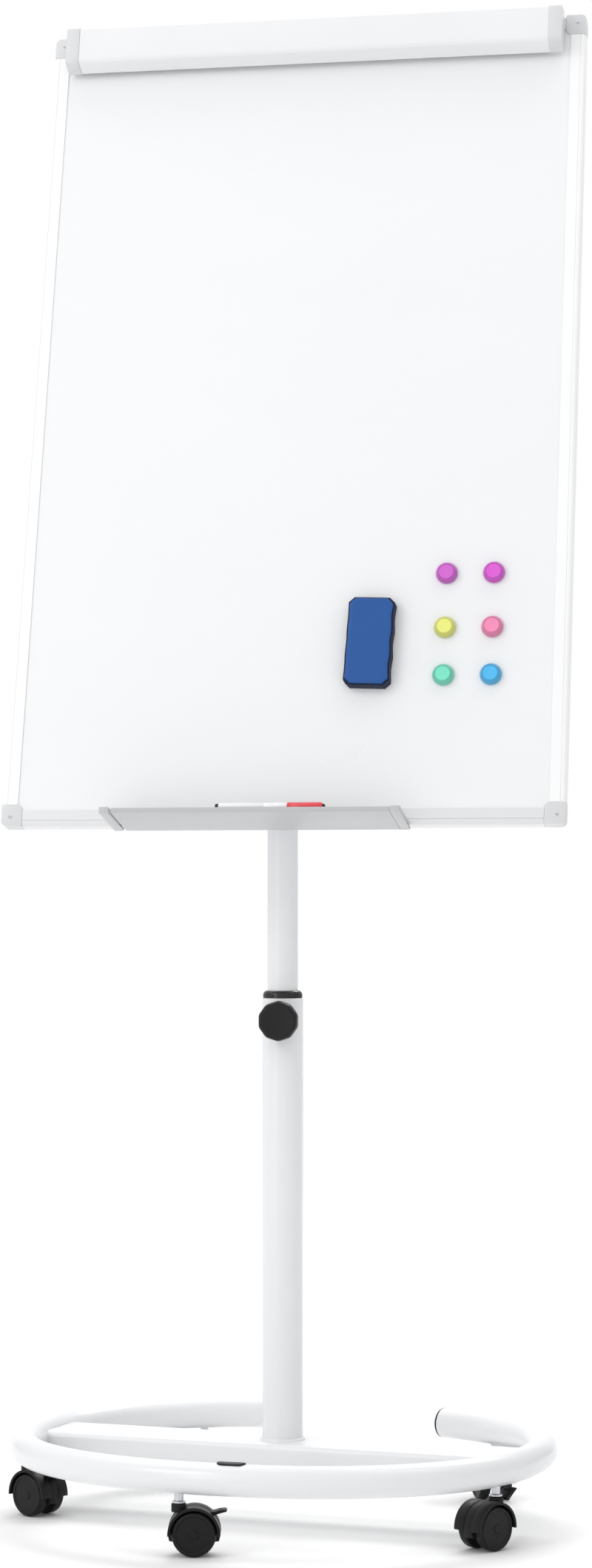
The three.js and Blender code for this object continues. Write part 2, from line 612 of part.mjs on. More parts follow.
// The eraser's outline: clipped corners, and shallow finger scallops down both long sides
function eraserOutline(inset) {
  const x = ERASER.width / 2 - inset;
  const y = ERASER.height / 2 - inset;
  const run = y - ERASER_CORNER;
  const samples = 8 * ERASER_GRIPS;
  const half = [[x - ERASER_CORNER, -y]];
  for (let i = 0; i <= samples; i += 1) {
    const scallop = 0.5 - 0.5 * Math.cos((2 * Math.PI * ERASER_GRIPS * i) / samples);
    half.push([x - ERASER_SCALLOP * scallop, run * ((2 * i) / samples - 1)]);
  }
  half.push([x - ERASER_CORNER, y]);
  return outline([...half, ...half.map(([p, q]) => [-p, -q])]);
}

function addEraser(board) {
  const { across, up, turn, felt, shell, shellInset } = ERASER;
  const place = group(board, across, SHEET_FRONT - GAP - felt, up);
  place.rotation.y = radians(turn);
  const bevel = { bevelEnabled: true, bevelSize: 1, bevelThickness: 1, bevelSegments: 1 };
  const cover = alongZ(eraserOutline(shellInset + 1), GAP + 1, GAP + shell - 1, bevel);
  add(place, 'eraser_shell', cover.rotateX(Math.PI / 2), blueShell);
  add(place, 'eraser_felt', alongY(eraserOutline(0), 0, felt), navyFelt);
}

function addMagnets(board) {
  const profile = [
    [0, 0], [MAGNET_RADIUS - 0.8, 0], [MAGNET_RADIUS, 0.8], [MAGNET_RADIUS, MAGNET_HEIGHT - 4],
    [MAGNET_RADIUS - 2.5, MAGNET_HEIGHT - 0.8], [MAGNET_RADIUS - 3.6, MAGNET_HEIGHT], [0, MAGNET_HEIGHT],
  ];
  MAGNET_ROWS.forEach((up, row) => {
    MAGNET_COLUMNS.forEach((across, column) => {
      const name = `magnet_${row * MAGNET_COLUMNS.length + column + 1}`;
      const magnet = turned(profile, 20).rotateX(Math.PI / 2);
      add(board, name, magnet, MAGNET_FINISHES[row][column]).position.set(across, SHEET_FRONT - GAP, up);
    });
  });
}

function addMarker(board) {
  const { left, joint, right, radius, capRadius, forward } = MARKER;
  const place = group(board, 0, -forward, capRadius);
  const neck = radius - 1.1;
  const barrel = turned([
    [0, left], [radius - 1.2, left], [radius - 0.7, left + 0.8], [radius - 0.7, left + 4],
    [radius, left + 4.6], [radius, joint - GAP], [neck, joint - GAP], [neck, joint + 9],
    [1.6, joint + 12], [1.2, joint + 17], [0, joint + 17],
  ], 20);
  add(place, 'marker_barrel', barrel.rotateY(Math.PI / 2), white);
  const bore = neck + GAP;
  const cap = turned([
    [bore, joint], [capRadius, joint], [capRadius, right - 2], [capRadius - 1.2, right], [0, right],
    [0, right - 4], [bore, right - 5], [bore, joint],
  ], 20);
  add(place, 'marker_cap', cap.rotateY(Math.PI / 2), redPlastic);
}

// ---------------------------------------------------------------- casters

function housingGeometry(pedal) {
  const hoodSide = outline([
    ...arc(0, 0, HOOD_OUTER, -4, 184, 16), ...arc(0, 0, HOOD_INNER, 184, -4, 14),
  ]);
  const hood = alongY(hoodSide, -HOOD_WIDTH / 2, HOOD_WIDTH / 2).translate(TRAIL, 0, WHEEL_RADIUS);
  const webSide = outline([...arc(0, 0, HOOD_OUTER - 1, -20, 200, 12), [-8, -12], [8, -12]]);
  const web = alongY(webSide, -WEB_THICKNESS / 2, WEB_THICKNESS / 2).translate(TRAIL, 0, WHEEL_RADIUS);
  const boss = rod(BOSS_RADIUS, BOSS_BOTTOM, BOSS_TOP, 16);
  const pieces = [hood, web, boss];
  const socket = rod(STEM_PIN_RADIUS + GAP, STEM_BOTTOM - GAP, BOSS_TOP + 1, 10);
  const axle = rodAlongY(AXLE_RADIUS + GAP, -WEB_THICKNESS, WEB_THICKNESS, 12)
    .translate(TRAIL, 0, WHEEL_RADIUS);
  const tools = [socket, axle];
  if (pedal) {
    const half = WEB_THICKNESS / 2;
    const [near, far] = [Math.min(pedal.x, 0), Math.max(pedal.x, 0)];
    pieces.push(block(near, far, -half, half, WHEEL_RADIUS + 14, pedal.z));
    tools.push(pedalClearance(pedal));
  }
  return cut(unite(...pieces), ...tools);
}

// The room a pedal swings in: its barrel and all that its paddle sweeps
function pedalClearance({ x, z, turn }) {
  const half = PEDAL_WIDTH / 2 + GAP;
  const barrel = rodAlongY(PEDAL_BARREL + GAP, -half, half, 16);
  const sweep = block(-1, 24, -half, half, -8, 12);
  return unite(barrel, sweep).rotateZ(radians(turn)).translate(x, 0, z);
}

function wheelGeometry() {
  const half = [
    [0, WHEEL_OUTER - 1], [WHEEL_RADIUS - 6, WHEEL_OUTER - 1], [WHEEL_RADIUS - 5, WHEEL_OUTER],
    [WHEEL_RADIUS - 2, WHEEL_OUTER], [WHEEL_RADIUS, WHEEL_OUTER - 2.5], [WHEEL_RADIUS, WHEEL_INNER],
    [AXLE_RADIUS, WHEEL_INNER],
  ];
  const mirrored = half.map(([radius, y]) => [radius, -y]);
  return turned([...mirrored, ...half.reverse()], 24);
}

function pedalGeometry() {
  const paddle = outline([
    ...arc(0, 0, PEDAL_BARREL, 100, 300, 10), [6, -0.6], [17, 2.6], [17.4, 4.4], [15.6, 5.2], [4, 3],
  ]);
  return alongY(paddle, -PEDAL_WIDTH / 2, PEDAL_WIDTH / 2);
}

function addCasters() {
  const stemProfile = [
    [0, STEM_BOTTOM], [STEM_PIN_RADIUS, STEM_BOTTOM], [STEM_PIN_RADIUS, BOSS_TOP + GAP],
    [STEM_FLANGE_RADIUS, BOSS_TOP + GAP], [STEM_FLANGE_RADIUS, BOSS_TOP + 2.5], [STEM_RADIUS, BOSS_TOP + 3.5],
    [STEM_RADIUS, STEM_TOP - 1], [STEM_RADIUS - 1, STEM_TOP], [0, STEM_TOP],
  ];
  for (const { name, ring, trail, pedal } of CASTERS) {
    const { x, y } = ringPoint(ring);
    const caster = group(easel, x, y, 0, trail);
    add(caster, `caster_stem_${name}`, turned(stemProfile, 12), steel);
    add(caster, `caster_housing_${name}`, housingGeometry(pedal), blackPlastic);
    const wheels = add(caster, `caster_wheels_${name}`, wheelGeometry().rotateX(Math.PI / 2), blackPlastic);
    wheels.position.set(TRAIL, 0, WHEEL_RADIUS);
    if (pedal) {
      const hinge = group(caster, pedal.x, 0, pedal.z, pedal.turn);
      add(hinge, `brake_pedal_${name}`, pedalGeometry(), blackPlastic).rotation.y = -radians(pedal.pitch);
    }
  }
}

// ---------------------------------------------------------------- assembly

addRing();
addBeam();
addLowerMast();
addCasters();

const mast = group(easel, 0, 0, 0, MAST_TURN);
addUpperMast(mast);

const pivot = group(mast, 0, 0, PIVOT_HEIGHT);
pivot.rotation.x = -radians(BOARD_LEAN);
addTiltHardware(pivot);

const board = group(pivot, BOARD_SHIFT, -PIVOT_BEHIND_FACE, -PIVOT_UP_BOARD);
addFrame(board);
addClamp(board);
addTray(board);
addEraser(board);
addMagnets(board);
addMarker(board);

// The easel's own origin is on the floor under the middle of its outer box
easel.updateMatrixWorld(true);
const bounds = new THREE.Box3().setFromObject(easel, true);
const middle = bounds.getCenter(new THREE.Vector3());
easel.position.set(-middle.x, -middle.y, 0);
easel.updateMatrixWorld(true);

export default easel;
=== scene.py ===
"""Looks of the mobile flip chart easel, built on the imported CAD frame.

Outlines are in millimetres in each sub-assembly's own space.
A matrix carries them to metres in the frame.
"""

import math

import bmesh
import bpy
from mathutils import Matrix, Vector
from mathutils.geometry import tessellate_polygon


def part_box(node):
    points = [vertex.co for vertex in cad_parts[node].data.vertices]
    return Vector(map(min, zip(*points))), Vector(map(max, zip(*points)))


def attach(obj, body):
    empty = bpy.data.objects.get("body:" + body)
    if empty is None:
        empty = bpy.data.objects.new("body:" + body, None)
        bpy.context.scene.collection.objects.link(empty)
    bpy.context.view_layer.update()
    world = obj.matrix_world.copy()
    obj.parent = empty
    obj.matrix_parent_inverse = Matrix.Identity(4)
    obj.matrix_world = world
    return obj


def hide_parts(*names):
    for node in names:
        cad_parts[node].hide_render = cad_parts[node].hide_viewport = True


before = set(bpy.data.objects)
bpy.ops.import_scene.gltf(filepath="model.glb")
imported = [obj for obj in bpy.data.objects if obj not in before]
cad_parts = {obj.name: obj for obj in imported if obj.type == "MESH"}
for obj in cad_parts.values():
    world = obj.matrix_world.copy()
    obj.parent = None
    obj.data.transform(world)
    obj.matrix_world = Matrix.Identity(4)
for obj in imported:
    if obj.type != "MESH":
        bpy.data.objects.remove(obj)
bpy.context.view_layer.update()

MM = 0.001

# Ring base
RING_HALF_WIDTH = 321
RING_HALF_DEPTH = 271.5
RING_POWER = 2.19
RING_END_ANGLE = 159
RING_TUBE = 19
RING_HEIGHT = 90
RING_STEPS = 220
RING_SIDES = 40
PLUG_ANGLE = 6
PLUG_LENGTH = 35
PLUG_WIDTH = 15

# Beam and mast
BEAM_TOP = 98
BEAM_BOTTOM = 66
BEAM_DEPTH = 90
BEAM_HALF_LENGTH = 312
LOWER_TUBE = 25.4
LOWER_TUBE_TOP = 643
UPPER_TUBE = 19.05
UPPER_TUBE_BOTTOM = 476
UPPER_TUBE_TOP = 1016
TUBE_WALL = 1.5
COLLAR = 24.6
KNOB_HEIGHT = 616
KNOB_ANGLE = 14.5
KNOB_REACH = 35.3
MAST_TURN = 10

# Board
BOARD_LEAN = 14
BOARD_SHIFT = 16
PIVOT_HEIGHT = 1041
PIVOT_UP_BOARD = 205
PIVOT_BEHIND_FACE = 58
BOARD_WIDTH = 700
BOARD_HEIGHT = 1073
BOARD_DEPTH = 18
BACK_RAIL_DEPTH = 14.7
BRACKET_GAP = 0.6
BRACKET_PLATE = 3
PANEL_INSET = 14
CORNER_WIDTH = 26
CORNER_HEIGHT = 27
SCREW_INSET = 11

# Paper clamp, measured from its hinge line
CLAMP_CENTRE = -2.75
CLAMP_LENGTH = 650
CLAMP_CAP = 17
HINGE_DOWN = 8
HINGE_FORWARD = 9
CLAMP_DEPTH = 30
CLAMP_DROP = 50

# Tray
TRAY_LEFT = -194.5
TRAY_RIGHT = 147
TRAY_REACH = 66
TRAY_FLOOR = -0.3
TRAY_LIP = 4.2
TRAY_RIB = -50.75

# Accessories
ERASER = {"across": 104, "up": 229, "turn": 2, "width": 58, "height": 113.5, "front": -12.8}
ERASER_SCALLOPS = (1.1, 0.4)
FELT_LAYERS = 5
FELT_LAYER = 2.8
ERASER_CORNER = 7
ERASER_GRIPS = 3
ERASER_STEPS = 48
MAGNET_COLUMNS = (195.5, 254)
MAGNET_ROWS = (319.5, 249.5, 188.5)
MAGNET_BACK = 1.2
MARKER_AXIS = (-58, 5.9)
MARKER_RADIUS = 5.5

# Casters: name, angle round the ring, trail direction, which side its brake pedal is on
CASTERS = [
    ("front", -3.5, 21, "trailing"),
    ("right", 72, 244, "leading"),
    ("left", -76, -22, "trailing"),
    ("rear_right", 142, 125, None),
    ("rear_left", -144, 150, None),
]
WHEEL_RADIUS = 26
TRAIL = 18
HOOD_RADIUS = 31

# Brake pedals: distance along the trail, height, turn and pitch
PEDAL_PLACES = {
    "trailing": (38.6, 48.4, 0, 0),
    "leading": (-12.4, 57, 180, 24),
}

# Camera, relative to the foot of the mast
CAMERA_TURN = 21
CAMERA_PITCH = 1.996
CAMERA_DISTANCE = 4401
CAMERA_SIDE = 16.5
CAMERA_HEIGHT = 756
CAMERA_LENS = 81.12

# Floor, in metres: half its width, the distances its far glow rises between, and the glow's strength
FLOOR_HALF_WIDTH = 20.0
FLOOR_FADE = (2.4, 4.2)
FLOOR_GLOW = 0.31

# Surround: the direction it is brightest in, its strength opposite and there, and the white backdrop
BRIGHT_SIDE = (-0.25, -0.55, 0.80)
SURROUND_LEVELS = (0.28, 0.94)
BACKDROP_SIDE = (-0.36, 0.93, 0.0)
BACKDROP_LEVEL = 1.0

# Soft boxes, in metres: name, place, width and height, power in watts, and the point it faces
SOFT_BOXES = [
    ("key", (-2.4, -3.6, 3.6), (1.5, 1.5), 34, (0, 0, 1.0)),
    ("top_left", (-1.7, 0.2, 4.4), (1.6, 3.0), 20, (0, 0, 0.4)),
    ("top_right", (1.7, 0.2, 4.4), (1.6, 3.0), 20, (0, 0, 0.4)),
    ("strip", (-1.3, -3.4, 1.1), (0.25, 1.8), 7, (0, 0, 0.9)),
    ("back", (-0.4, 2.5, 3.2), (3.0, 1.2), 75, (0, 0.1, 0.1)),
]


# ---------------------------------------------------------------- placing

def turned_about(axis, degrees):
    return Matrix.Rotation(math.radians(degrees), 4, axis)


def frame_matrices():
    """The spaces that outlines are drawn in, each mapped from millimetres to the frame."""
    low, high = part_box("upper_tube")
    foot = Matrix.Translation(((low[0] + high[0]) / 2, (low[1] + high[1]) / 2, 0)) @ Matrix.Scale(MM, 4)
    mast = foot @ turned_about("Z", MAST_TURN)
    pivot = mast @ Matrix.Translation((0, 0, PIVOT_HEIGHT)) @ turned_about("X", -BOARD_LEAN)
    board = pivot @ Matrix.Translation((BOARD_SHIFT, -PIVOT_BEHIND_FACE, -PIVOT_UP_BOARD))
    return foot, mast, pivot, board


FOOT, MAST, PIVOT, BOARD = frame_matrices()


# ---------------------------------------------------------------- materials

def new_material(name):
    material = bpy.data.materials.new(name)
    material.use_nodes = True
    nodes = material.node_tree.nodes
    return material, nodes, material.node_tree.links, nodes["Principled BSDF"]


def noise(nodes, links, coordinates, scale, detail=3.0, stretch=(1, 1, 1)):
    mapping = nodes.new("ShaderNodeMapping")
    mapping.inputs["Scale"].default_value = stretch
    links.new(coordinates, mapping.inputs["Vector"])
    texture = nodes.new("ShaderNodeTexNoise")
    texture.inputs["Scale"].default_value = scale
    texture.inputs["Detail"].default_value = detail
    links.new(mapping.outputs["Vector"], texture.inputs["Vector"])
    return texture.outputs["Fac"]


def spread(nodes, links, value, low, high, start=0.15, end=0.85):
    """Maps a noise value between start and end to a number between low and high."""
    ramp = nodes.new("ShaderNodeMapRange")
    ramp.inputs["From Min"].default_value = start
    ramp.inputs["From Max"].default_value = end
    ramp.inputs["To Min"].default_value = low
    ramp.inputs["To Max"].default_value = high
    links.new(value, ramp.inputs["Value"])
    return ramp.outputs["Result"]


def tinted(nodes, links, factor, first, second):
    mix = nodes.new("ShaderNodeMix")
    mix.data_type = "RGBA"
    links.new(factor, mix.inputs["Factor"])
    mix.inputs[6].default_value = (*first, 1)
    mix.inputs[7].default_value = (*second, 1)
    return mix.outputs[2]


def bumped(nodes, links, shader, height, strength, distance, after=None):
    bump = nodes.new("ShaderNodeBump")
    bump.inputs["Strength"].default_value = strength
    bump.inputs["Distance"].default_value = distance
    links.new(height, bump.inputs["Height"])
    if after:
        links.new(after, bump.inputs["Normal"])
    links.new(bump.outputs["Normal"], shader.inputs["Normal"])
    return bump.outputs["Normal"]


def surface(
    name, color, shade, roughness, grain, metallic=0.0, stretch=(1, 1, 1), coat=0.0, wear=0.5, shine=0.5,
):
    """A surface with slow colour drift, worn edges, uneven gloss and a fine grain.

    color and shade are its lighter and darker tone, and roughness is a pair.
    grain is its (scale, strength), and shine its specular level.
    """
    material, nodes, links, shader = new_material(name)
    coordinates = nodes.new("ShaderNodeTexCoord").outputs["Object"]
    drift = spread(nodes, links, noise(nodes, links, coordinates, 9.0, 4.0), 0.0, 1.0)
    base = tinted(nodes, links, drift, shade, color)
    edge = nodes.new("ShaderNodeNewGeometry").outputs["Pointiness"]
    worn = spread(nodes, links, edge, 0.0, wear, 0.53, 0.62)
    mix = nodes.new("ShaderNodeMix")
    mix.data_type = "RGBA"
    links.new(worn, mix.inputs["Factor"])
    links.new(base, mix.inputs[6])
    mix.inputs[7].default_value = (*[min(1.0, 1.12 * c + 0.015) for c in color], 1)
    links.new(mix.outputs[2], shader.inputs["Base Color"])
    gloss = noise(nodes, links, coordinates, 38.0, 5.0, stretch)
    links.new(spread(nodes, links, gloss, *roughness), shader.inputs["Roughness"])
    scale, strength = grain
    fine = noise(nodes, links, coordinates, scale, 4.0, stretch)
    bumped(nodes, links, shader, fine, strength, 0.0004)
    shader.inputs["Metallic"].default_value = metallic
    shader.inputs["Specular IOR Level"].default_value = shine
    shader.inputs["Coat Weight"].default_value = coat
    shader.inputs["Coat Roughness"].default_value = 0.08
    return material


def whiteboard_surface():
    """Lacquered steel: glossy, faintly rippled, with a hint of wiped ink and fine dry-wipe scratches."""
    material, nodes, links, shader = new_material("whiteboard_lacquer")
    coordinates = nodes.new("ShaderNodeTexCoord").outputs["Object"]
    smear = noise(nodes, links, coordinates, 4.0, 6.0, (1.0, 1.0, 2.6))
    smeared = spread(nodes, links, smear, 0.0, 1.0)
    base = tinted(nodes, links, smeared, (0.845, 0.857, 0.873), (0.86, 0.873, 0.888))
    links.new(base, shader.inputs["Base Color"])
    wiped = noise(nodes, links, coordinates, 5.0, 3.0, (0.6, 0.6, 1.4))
    links.new(spread(nodes, links, wiped, 0.27, 0.29), shader.inputs["Roughness"])
    ripple = noise(nodes, links, coordinates, 60.0, 2.0)
    rippled = bumped(nodes, links, shader, ripple, 0.008, 0.0004)
    scratches = noise(nodes, links, coordinates, 900.0, 2.0, (0.2, 0.2, 1.0))
    bumped(nodes, links, shader, scratches, 0.006, 0.0002, rippled)
    shader.inputs["Coat Weight"].default_value = 0.15
    shader.inputs["Coat Roughness"].default_value = 0.2
    return material


def felt_surface():
    """Pressed felt: matte, with matted fibres and a soft sheen."""
    material, nodes, links, shader = new_material("eraser_felt_navy")
    coordinates = nodes.new("ShaderNodeTexCoord").outputs["Object"]
    clumps = noise(nodes, links, coordinates, 320.0, 6.0)
    matted = spread(nodes, links, clumps, 0.0, 1.0)
    base = tinted(nodes, links, matted, (0.006, 0.010, 0.03), (0.02, 0.03, 0.075))
    links.new(base, shader.inputs["Base Color"])
    fibres = noise(nodes, links, coordinates, 1500.0, 8.0)
    bumped(nodes, links, shader, fibres, 0.8, 0.0012)
    shader.inputs["Roughness"].default_value = 0.95
    shader.inputs["Sheen Weight"].default_value = 0.08
    return material


def fibreboard_surface():
    """The board's plain backing: pale grey paper over fibreboard, with flecks."""
    material, nodes, links, shader = new_material("backing_board")
    coordinates = nodes.new("ShaderNodeTexCoord").outputs["Object"]
    flecks = noise(nodes, links, coordinates, 420.0, 7.0)
    clouds = noise(nodes, links, coordinates, 7.0, 5.0)
    flecked = spread(nodes, links, flecks, 0, 1, 0.35, 0.65)
    speckled = tinted(nodes, links, flecked, (0.36, 0.38, 0.40), (0.43, 0.45, 0.47))
    mix = nodes.new("ShaderNodeMix")
    mix.data_type = "RGBA"
    mix.blend_type = "MULTIPLY"
    mix.inputs["Factor"].default_value = 0.25
    links.new(speckled, mix.inputs[6])
    links.new(tinted(nodes, links, clouds, (0.8, 0.8, 0.8), (1, 1, 1)), mix.inputs[7])
    links.new(mix.outputs[2], shader.inputs["Base Color"])
    bumped(nodes, links, shader, flecks, 0.35, 0.0006)
    shader.inputs["Roughness"].default_value = 0.75
    return material


ALONG_MAST = (1, 1, 0.04)
ACROSS_BOARD = (0.05, 1, 1)

white_paint = surface(
    "white_powder_coat", (0.80, 0.81, 0.825), (0.785, 0.795, 0.81),
    (0.24, 0.28), (500, 0.008), coat=0.1, wear=0,
)
aluminium = surface(
    "anodised_rail", (0.765, 0.77, 0.78), (0.73, 0.735, 0.745),
    (0.30, 0.38), (700, 0.04), 0.1, ACROSS_BOARD, wear=0,
)
# The side rails are the same extrusion as the other rails, drawn lighter as painted light.
side_aluminium_painted_lighter = surface(
    "anodised_side_rail_painted_lighter", (0.93, 0.935, 0.94), (0.90, 0.905, 0.91),
    (0.30, 0.38), (700, 0.04), 0.0, ALONG_MAST, wear=0,
)
grey_plastic = surface(
    "grey_moulding", (0.69, 0.70, 0.71), (0.64, 0.65, 0.66),
    (0.40, 0.55), (1600, 0.12), wear=0.2,
)
black_plastic = surface(
    "black_moulding", (0.012, 0.012, 0.0135), (0.008, 0.008, 0.009),
    (0.34, 0.48), (1500, 0.18), wear=0.2, shine=0.25,
)
collar_plastic = surface(
    "black_collar_moulding", (0.012, 0.012, 0.013), (0.008, 0.008, 0.009),
    (0.18, 0.26), (1500, 0.10), wear=0.2,
)
caster_plastic = surface(
    "caster_nylon", (0.008, 0.008, 0.009), (0.005, 0.005, 0.006),
    (0.36, 0.52), (1500, 0.20), wear=0.15, shine=0.22,
)
zinc_steel = surface(
    "zinc_plated_steel", (0.66, 0.67, 0.69), (0.54, 0.55, 0.58),
    (0.22, 0.38), (900, 0.08), 0.95,
)
eraser_blue = surface(
    "eraser_blue", (0.018, 0.100, 0.345), (0.015, 0.086, 0.305),
    (0.42, 0.58), (1800, 0.22), wear=0.15, shine=0.3,
)
marker_white = surface(
    "marker_white", (0.84, 0.845, 0.86), (0.80, 0.80, 0.82),
    (0.22, 0.32), (1200, 0.04), coat=0.3,
)
marker_red = surface(
    "marker_red", (0.74, 0.045, 0.06), (0.66, 0.035, 0.05),
    (0.25, 0.38), (1200, 0.05), coat=0.3, wear=0.1,
)
marker_dark = surface(
    "marker_tip_dark", (0.035, 0.035, 0.038), (0.022, 0.022, 0.025),
    (0.4, 0.6), (1200, 0.1), wear=0.1, shine=0.3,
)
clamp_paint = surface(
    "clamp_powder_coat", (0.83, 0.835, 0.845), (0.80, 0.805, 0.815),
    (0.30, 0.38), (1400, 0.06), 0.0, ACROSS_BOARD, wear=0,
)
# The tray body is drawn mid-grey, darker than the other anodised rails, as painted shade on its underside.
tray_painted_shade = surface(
    "tray_anodised_painted_shade", (0.50, 0.508, 0.516), (0.47, 0.477, 0.485),
    (0.34, 0.46), (700, 0.06), 0.1, ACROSS_BOARD, wear=0,
)
# The tray end caps are the grey moulding drawn darker, as painted shade under the tray.
tray_plastic_painted_shade = surface(
    "tray_end_moulding_painted_shade", (0.53, 0.535, 0.54), (0.49, 0.495, 0.50),
    (0.40, 0.55), (1600, 0.12), wear=0,
)
whiteboard = whiteboard_surface()
felt = felt_surface()
backing = fibreboard_surface()

MAGNET_COLOURS = [
    ("violet", (0.68, 0.13, 0.66)),
    ("magenta", (0.74, 0.10, 0.68)),
    ("yellow", (0.86, 0.89, 0.21)),
    ("pink", (0.94, 0.27, 0.50)),
    ("mint", (0.20, 0.82, 0.60)),
    ("blue", (0.07, 0.50, 0.90)),
]


# ---------------------------------------------------------------- mesh building

def arc(x, y, radius, start, end, steps):
    turn = (end - start) / steps
    angles = [math.radians(start + turn * i) for i in range(steps + 1)]
    return [(x + radius * math.cos(a), y + radius * math.sin(a)) for a in angles]


def rounded_rectangle(width, height, radius, steps=6):
    x, y = width / 2 - radius, height / 2 - radius
    corners = [(x, y, 0), (-x, y, 90), (-x, -y, 180), (x, -y, 270)]
    return [p for cx, cy, start in corners for p in arc(cx, cy, radius, start, start + 90, steps)]


def skin(rings):
    """A solid through rings of points, each ring with as many points as the next, with both ends filled."""
    bm = bmesh.new()
    rows = [[bm.verts.new(p) for p in ring] for ring in rings]
    for first, second in zip(rows, rows[1:]):
        for i in range(len(first)):
            j = (i + 1) % len(first)
            bm.faces.new((first[i], first[j], second[j], second[i]))
    for row in (rows[0], rows[-1]):
        points = [v.co for v in row]
        for a, b, c in tessellate_polygon([points]):
            bm.faces.new((row[a], row[b], row[c]))
    bmesh.ops.recalc_face_normals(bm, faces=bm.faces)
    return bm


def along(axis, outline, start, end):
    """A solid with an outline in the two other axes, from start to end along the axis."""
    place = {
        "X": lambda p, q, r: (r, p, q),
        "Y": lambda p, q, r: (p, r, q),
        "Z": lambda p, q, r: (p, q, r),
    }[axis]
    return skin([[place(p, q, r) for p, q in outline] for r in (start, end)])


def lathe(profile, segments=64):
    """A solid of revolution about Z from (radius, z) points, open at the axis or closed on itself."""
    bm = bmesh.new()
    closed = profile[0] == profile[-1]
    points = profile[:-1] if closed else profile
    columns = []
    for i in range(segments):
        a = 2 * math.pi * i / segments
        columns.append([(r * math.cos(a), r * math.sin(a), z) for r, z in points])
    rows = []
    for k, (r, z) in enumerate(points):
        if r == 0:
            rows.append([bm.verts.new((0, 0, z))])
        else:
            rows.append([bm.verts.new(column[k]) for column in columns])
    pairs = list(zip(rows, rows[1:]))
    if closed:
        pairs.append((rows[-1], rows[0]))
    for first, second in pairs:
        for i in range(segments):
            j = (i + 1) % segments
            corners = [row[k % len(row)] for row, k in ((first, i), (first, j), (second, j), (second, i))]
            ring = [v for n, v in enumerate(corners) if v not in corners[:n]]
            if len(ring) > 2:
                bm.faces.new(ring)
    bmesh.ops.recalc_face_normals(bm, faces=bm.faces)
    return bm


def joined(*meshes):
    whole = bmesh.new()
    for bm in meshes:
        scratch = bpy.data.meshes.new("scratch")
        bm.to_mesh(scratch)
        bm.free()
        whole.from_mesh(scratch)
        bpy.data.meshes.remove(scratch)
    return whole


def moved(bm, *matrices):
    for matrix in matrices:
        bmesh.ops.transform(bm, matrix=matrix, verts=bm.verts)
    return bm


def rounded(bm, radius, segments=3, sharper_than=28):
    limit = math.radians(sharper_than)
    edges = [e for e in bm.edges if len(e.link_faces) == 2 and e.calc_face_angle(0) > limit]
    bmesh.ops.bevel(
        bm, geom=edges, offset=radius, offset_type="OFFSET", segments=segments, profile=0.5,
        affect="EDGES", clamp_overlap=True,
    )
    return bm


def piece(name, bm, space, body, material, nodes=(), crease=32):
    """Turns a mesh into a named piece that rides on a body and stands for CAD nodes."""
    moved(bm, space)
    bmesh.ops.recalc_face_normals(bm, faces=bm.faces)
    limit = math.radians(crease)
    for face in bm.faces:
        face.smooth = True
    for edge in bm.edges:
        edge.smooth = len(edge.link_faces) == 2 and edge.calc_face_angle(0) < limit
    mesh = bpy.data.meshes.new(name)
    bm.to_mesh(mesh)
    bm.free()
    mesh.materials.append(material)
    obj = bpy.data.objects.new(name, mesh)
    bpy.context.scene.collection.objects.link(obj)
    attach(obj, body)
    if nodes:
        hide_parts(*nodes)
    return obj


def repaint(node, material):
    """Gives a CAD node that keeps its shape a finished material."""
    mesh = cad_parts[node].data
    for i in range(len(mesh.materials)):
        mesh.materials[i] = material
    if not mesh.materials:
        mesh.materials.append(material)


# ---------------------------------------------------------------- ring base

def ring_point(angle):
    power = 2 / RING_POWER
    sine, cosine = math.sin(math.radians(angle)), math.cos(math.radians(angle))
    x = RING_HALF_WIDTH * math.copysign(abs(sine) ** power, sine)
    y = -RING_HALF_DEPTH * math.copysign(abs(cosine) ** power, cosine)
    return Vector((x, y, RING_HEIGHT))


def ring_path(steps):
    """Evenly spaced points along the bent tube's centre line."""
    dense = [ring_point(RING_END_ANGLE * (i / 1000 - 1)) for i in range(2001)]
    lengths = [0.0]
    for a, b in zip(dense, dense[1:]):
        lengths.append(lengths[-1] + (b - a).length)
    points, at = [], 0
    for i in range(steps + 1):
        target = lengths[-1] * i / steps
        while at < len(dense) - 2 and lengths[at + 1] < target:
            at += 1
        share = (target - lengths[at]) / (lengths[at + 1] - lengths[at])
        points.append(dense[at].lerp(dense[at + 1], share))
    return points


def tube_ring(centre, direction):
    """The bent tube's circular section at a point of its centre line."""
    up = Vector((0, 0, 1))
    side = direction.cross(up).normalized()
    return [
        centre + RING_TUBE * (math.cos(a) * side + math.sin(a) * up)
        for a in (2 * math.pi * i / RING_SIDES for i in range(RING_SIDES))
    ]


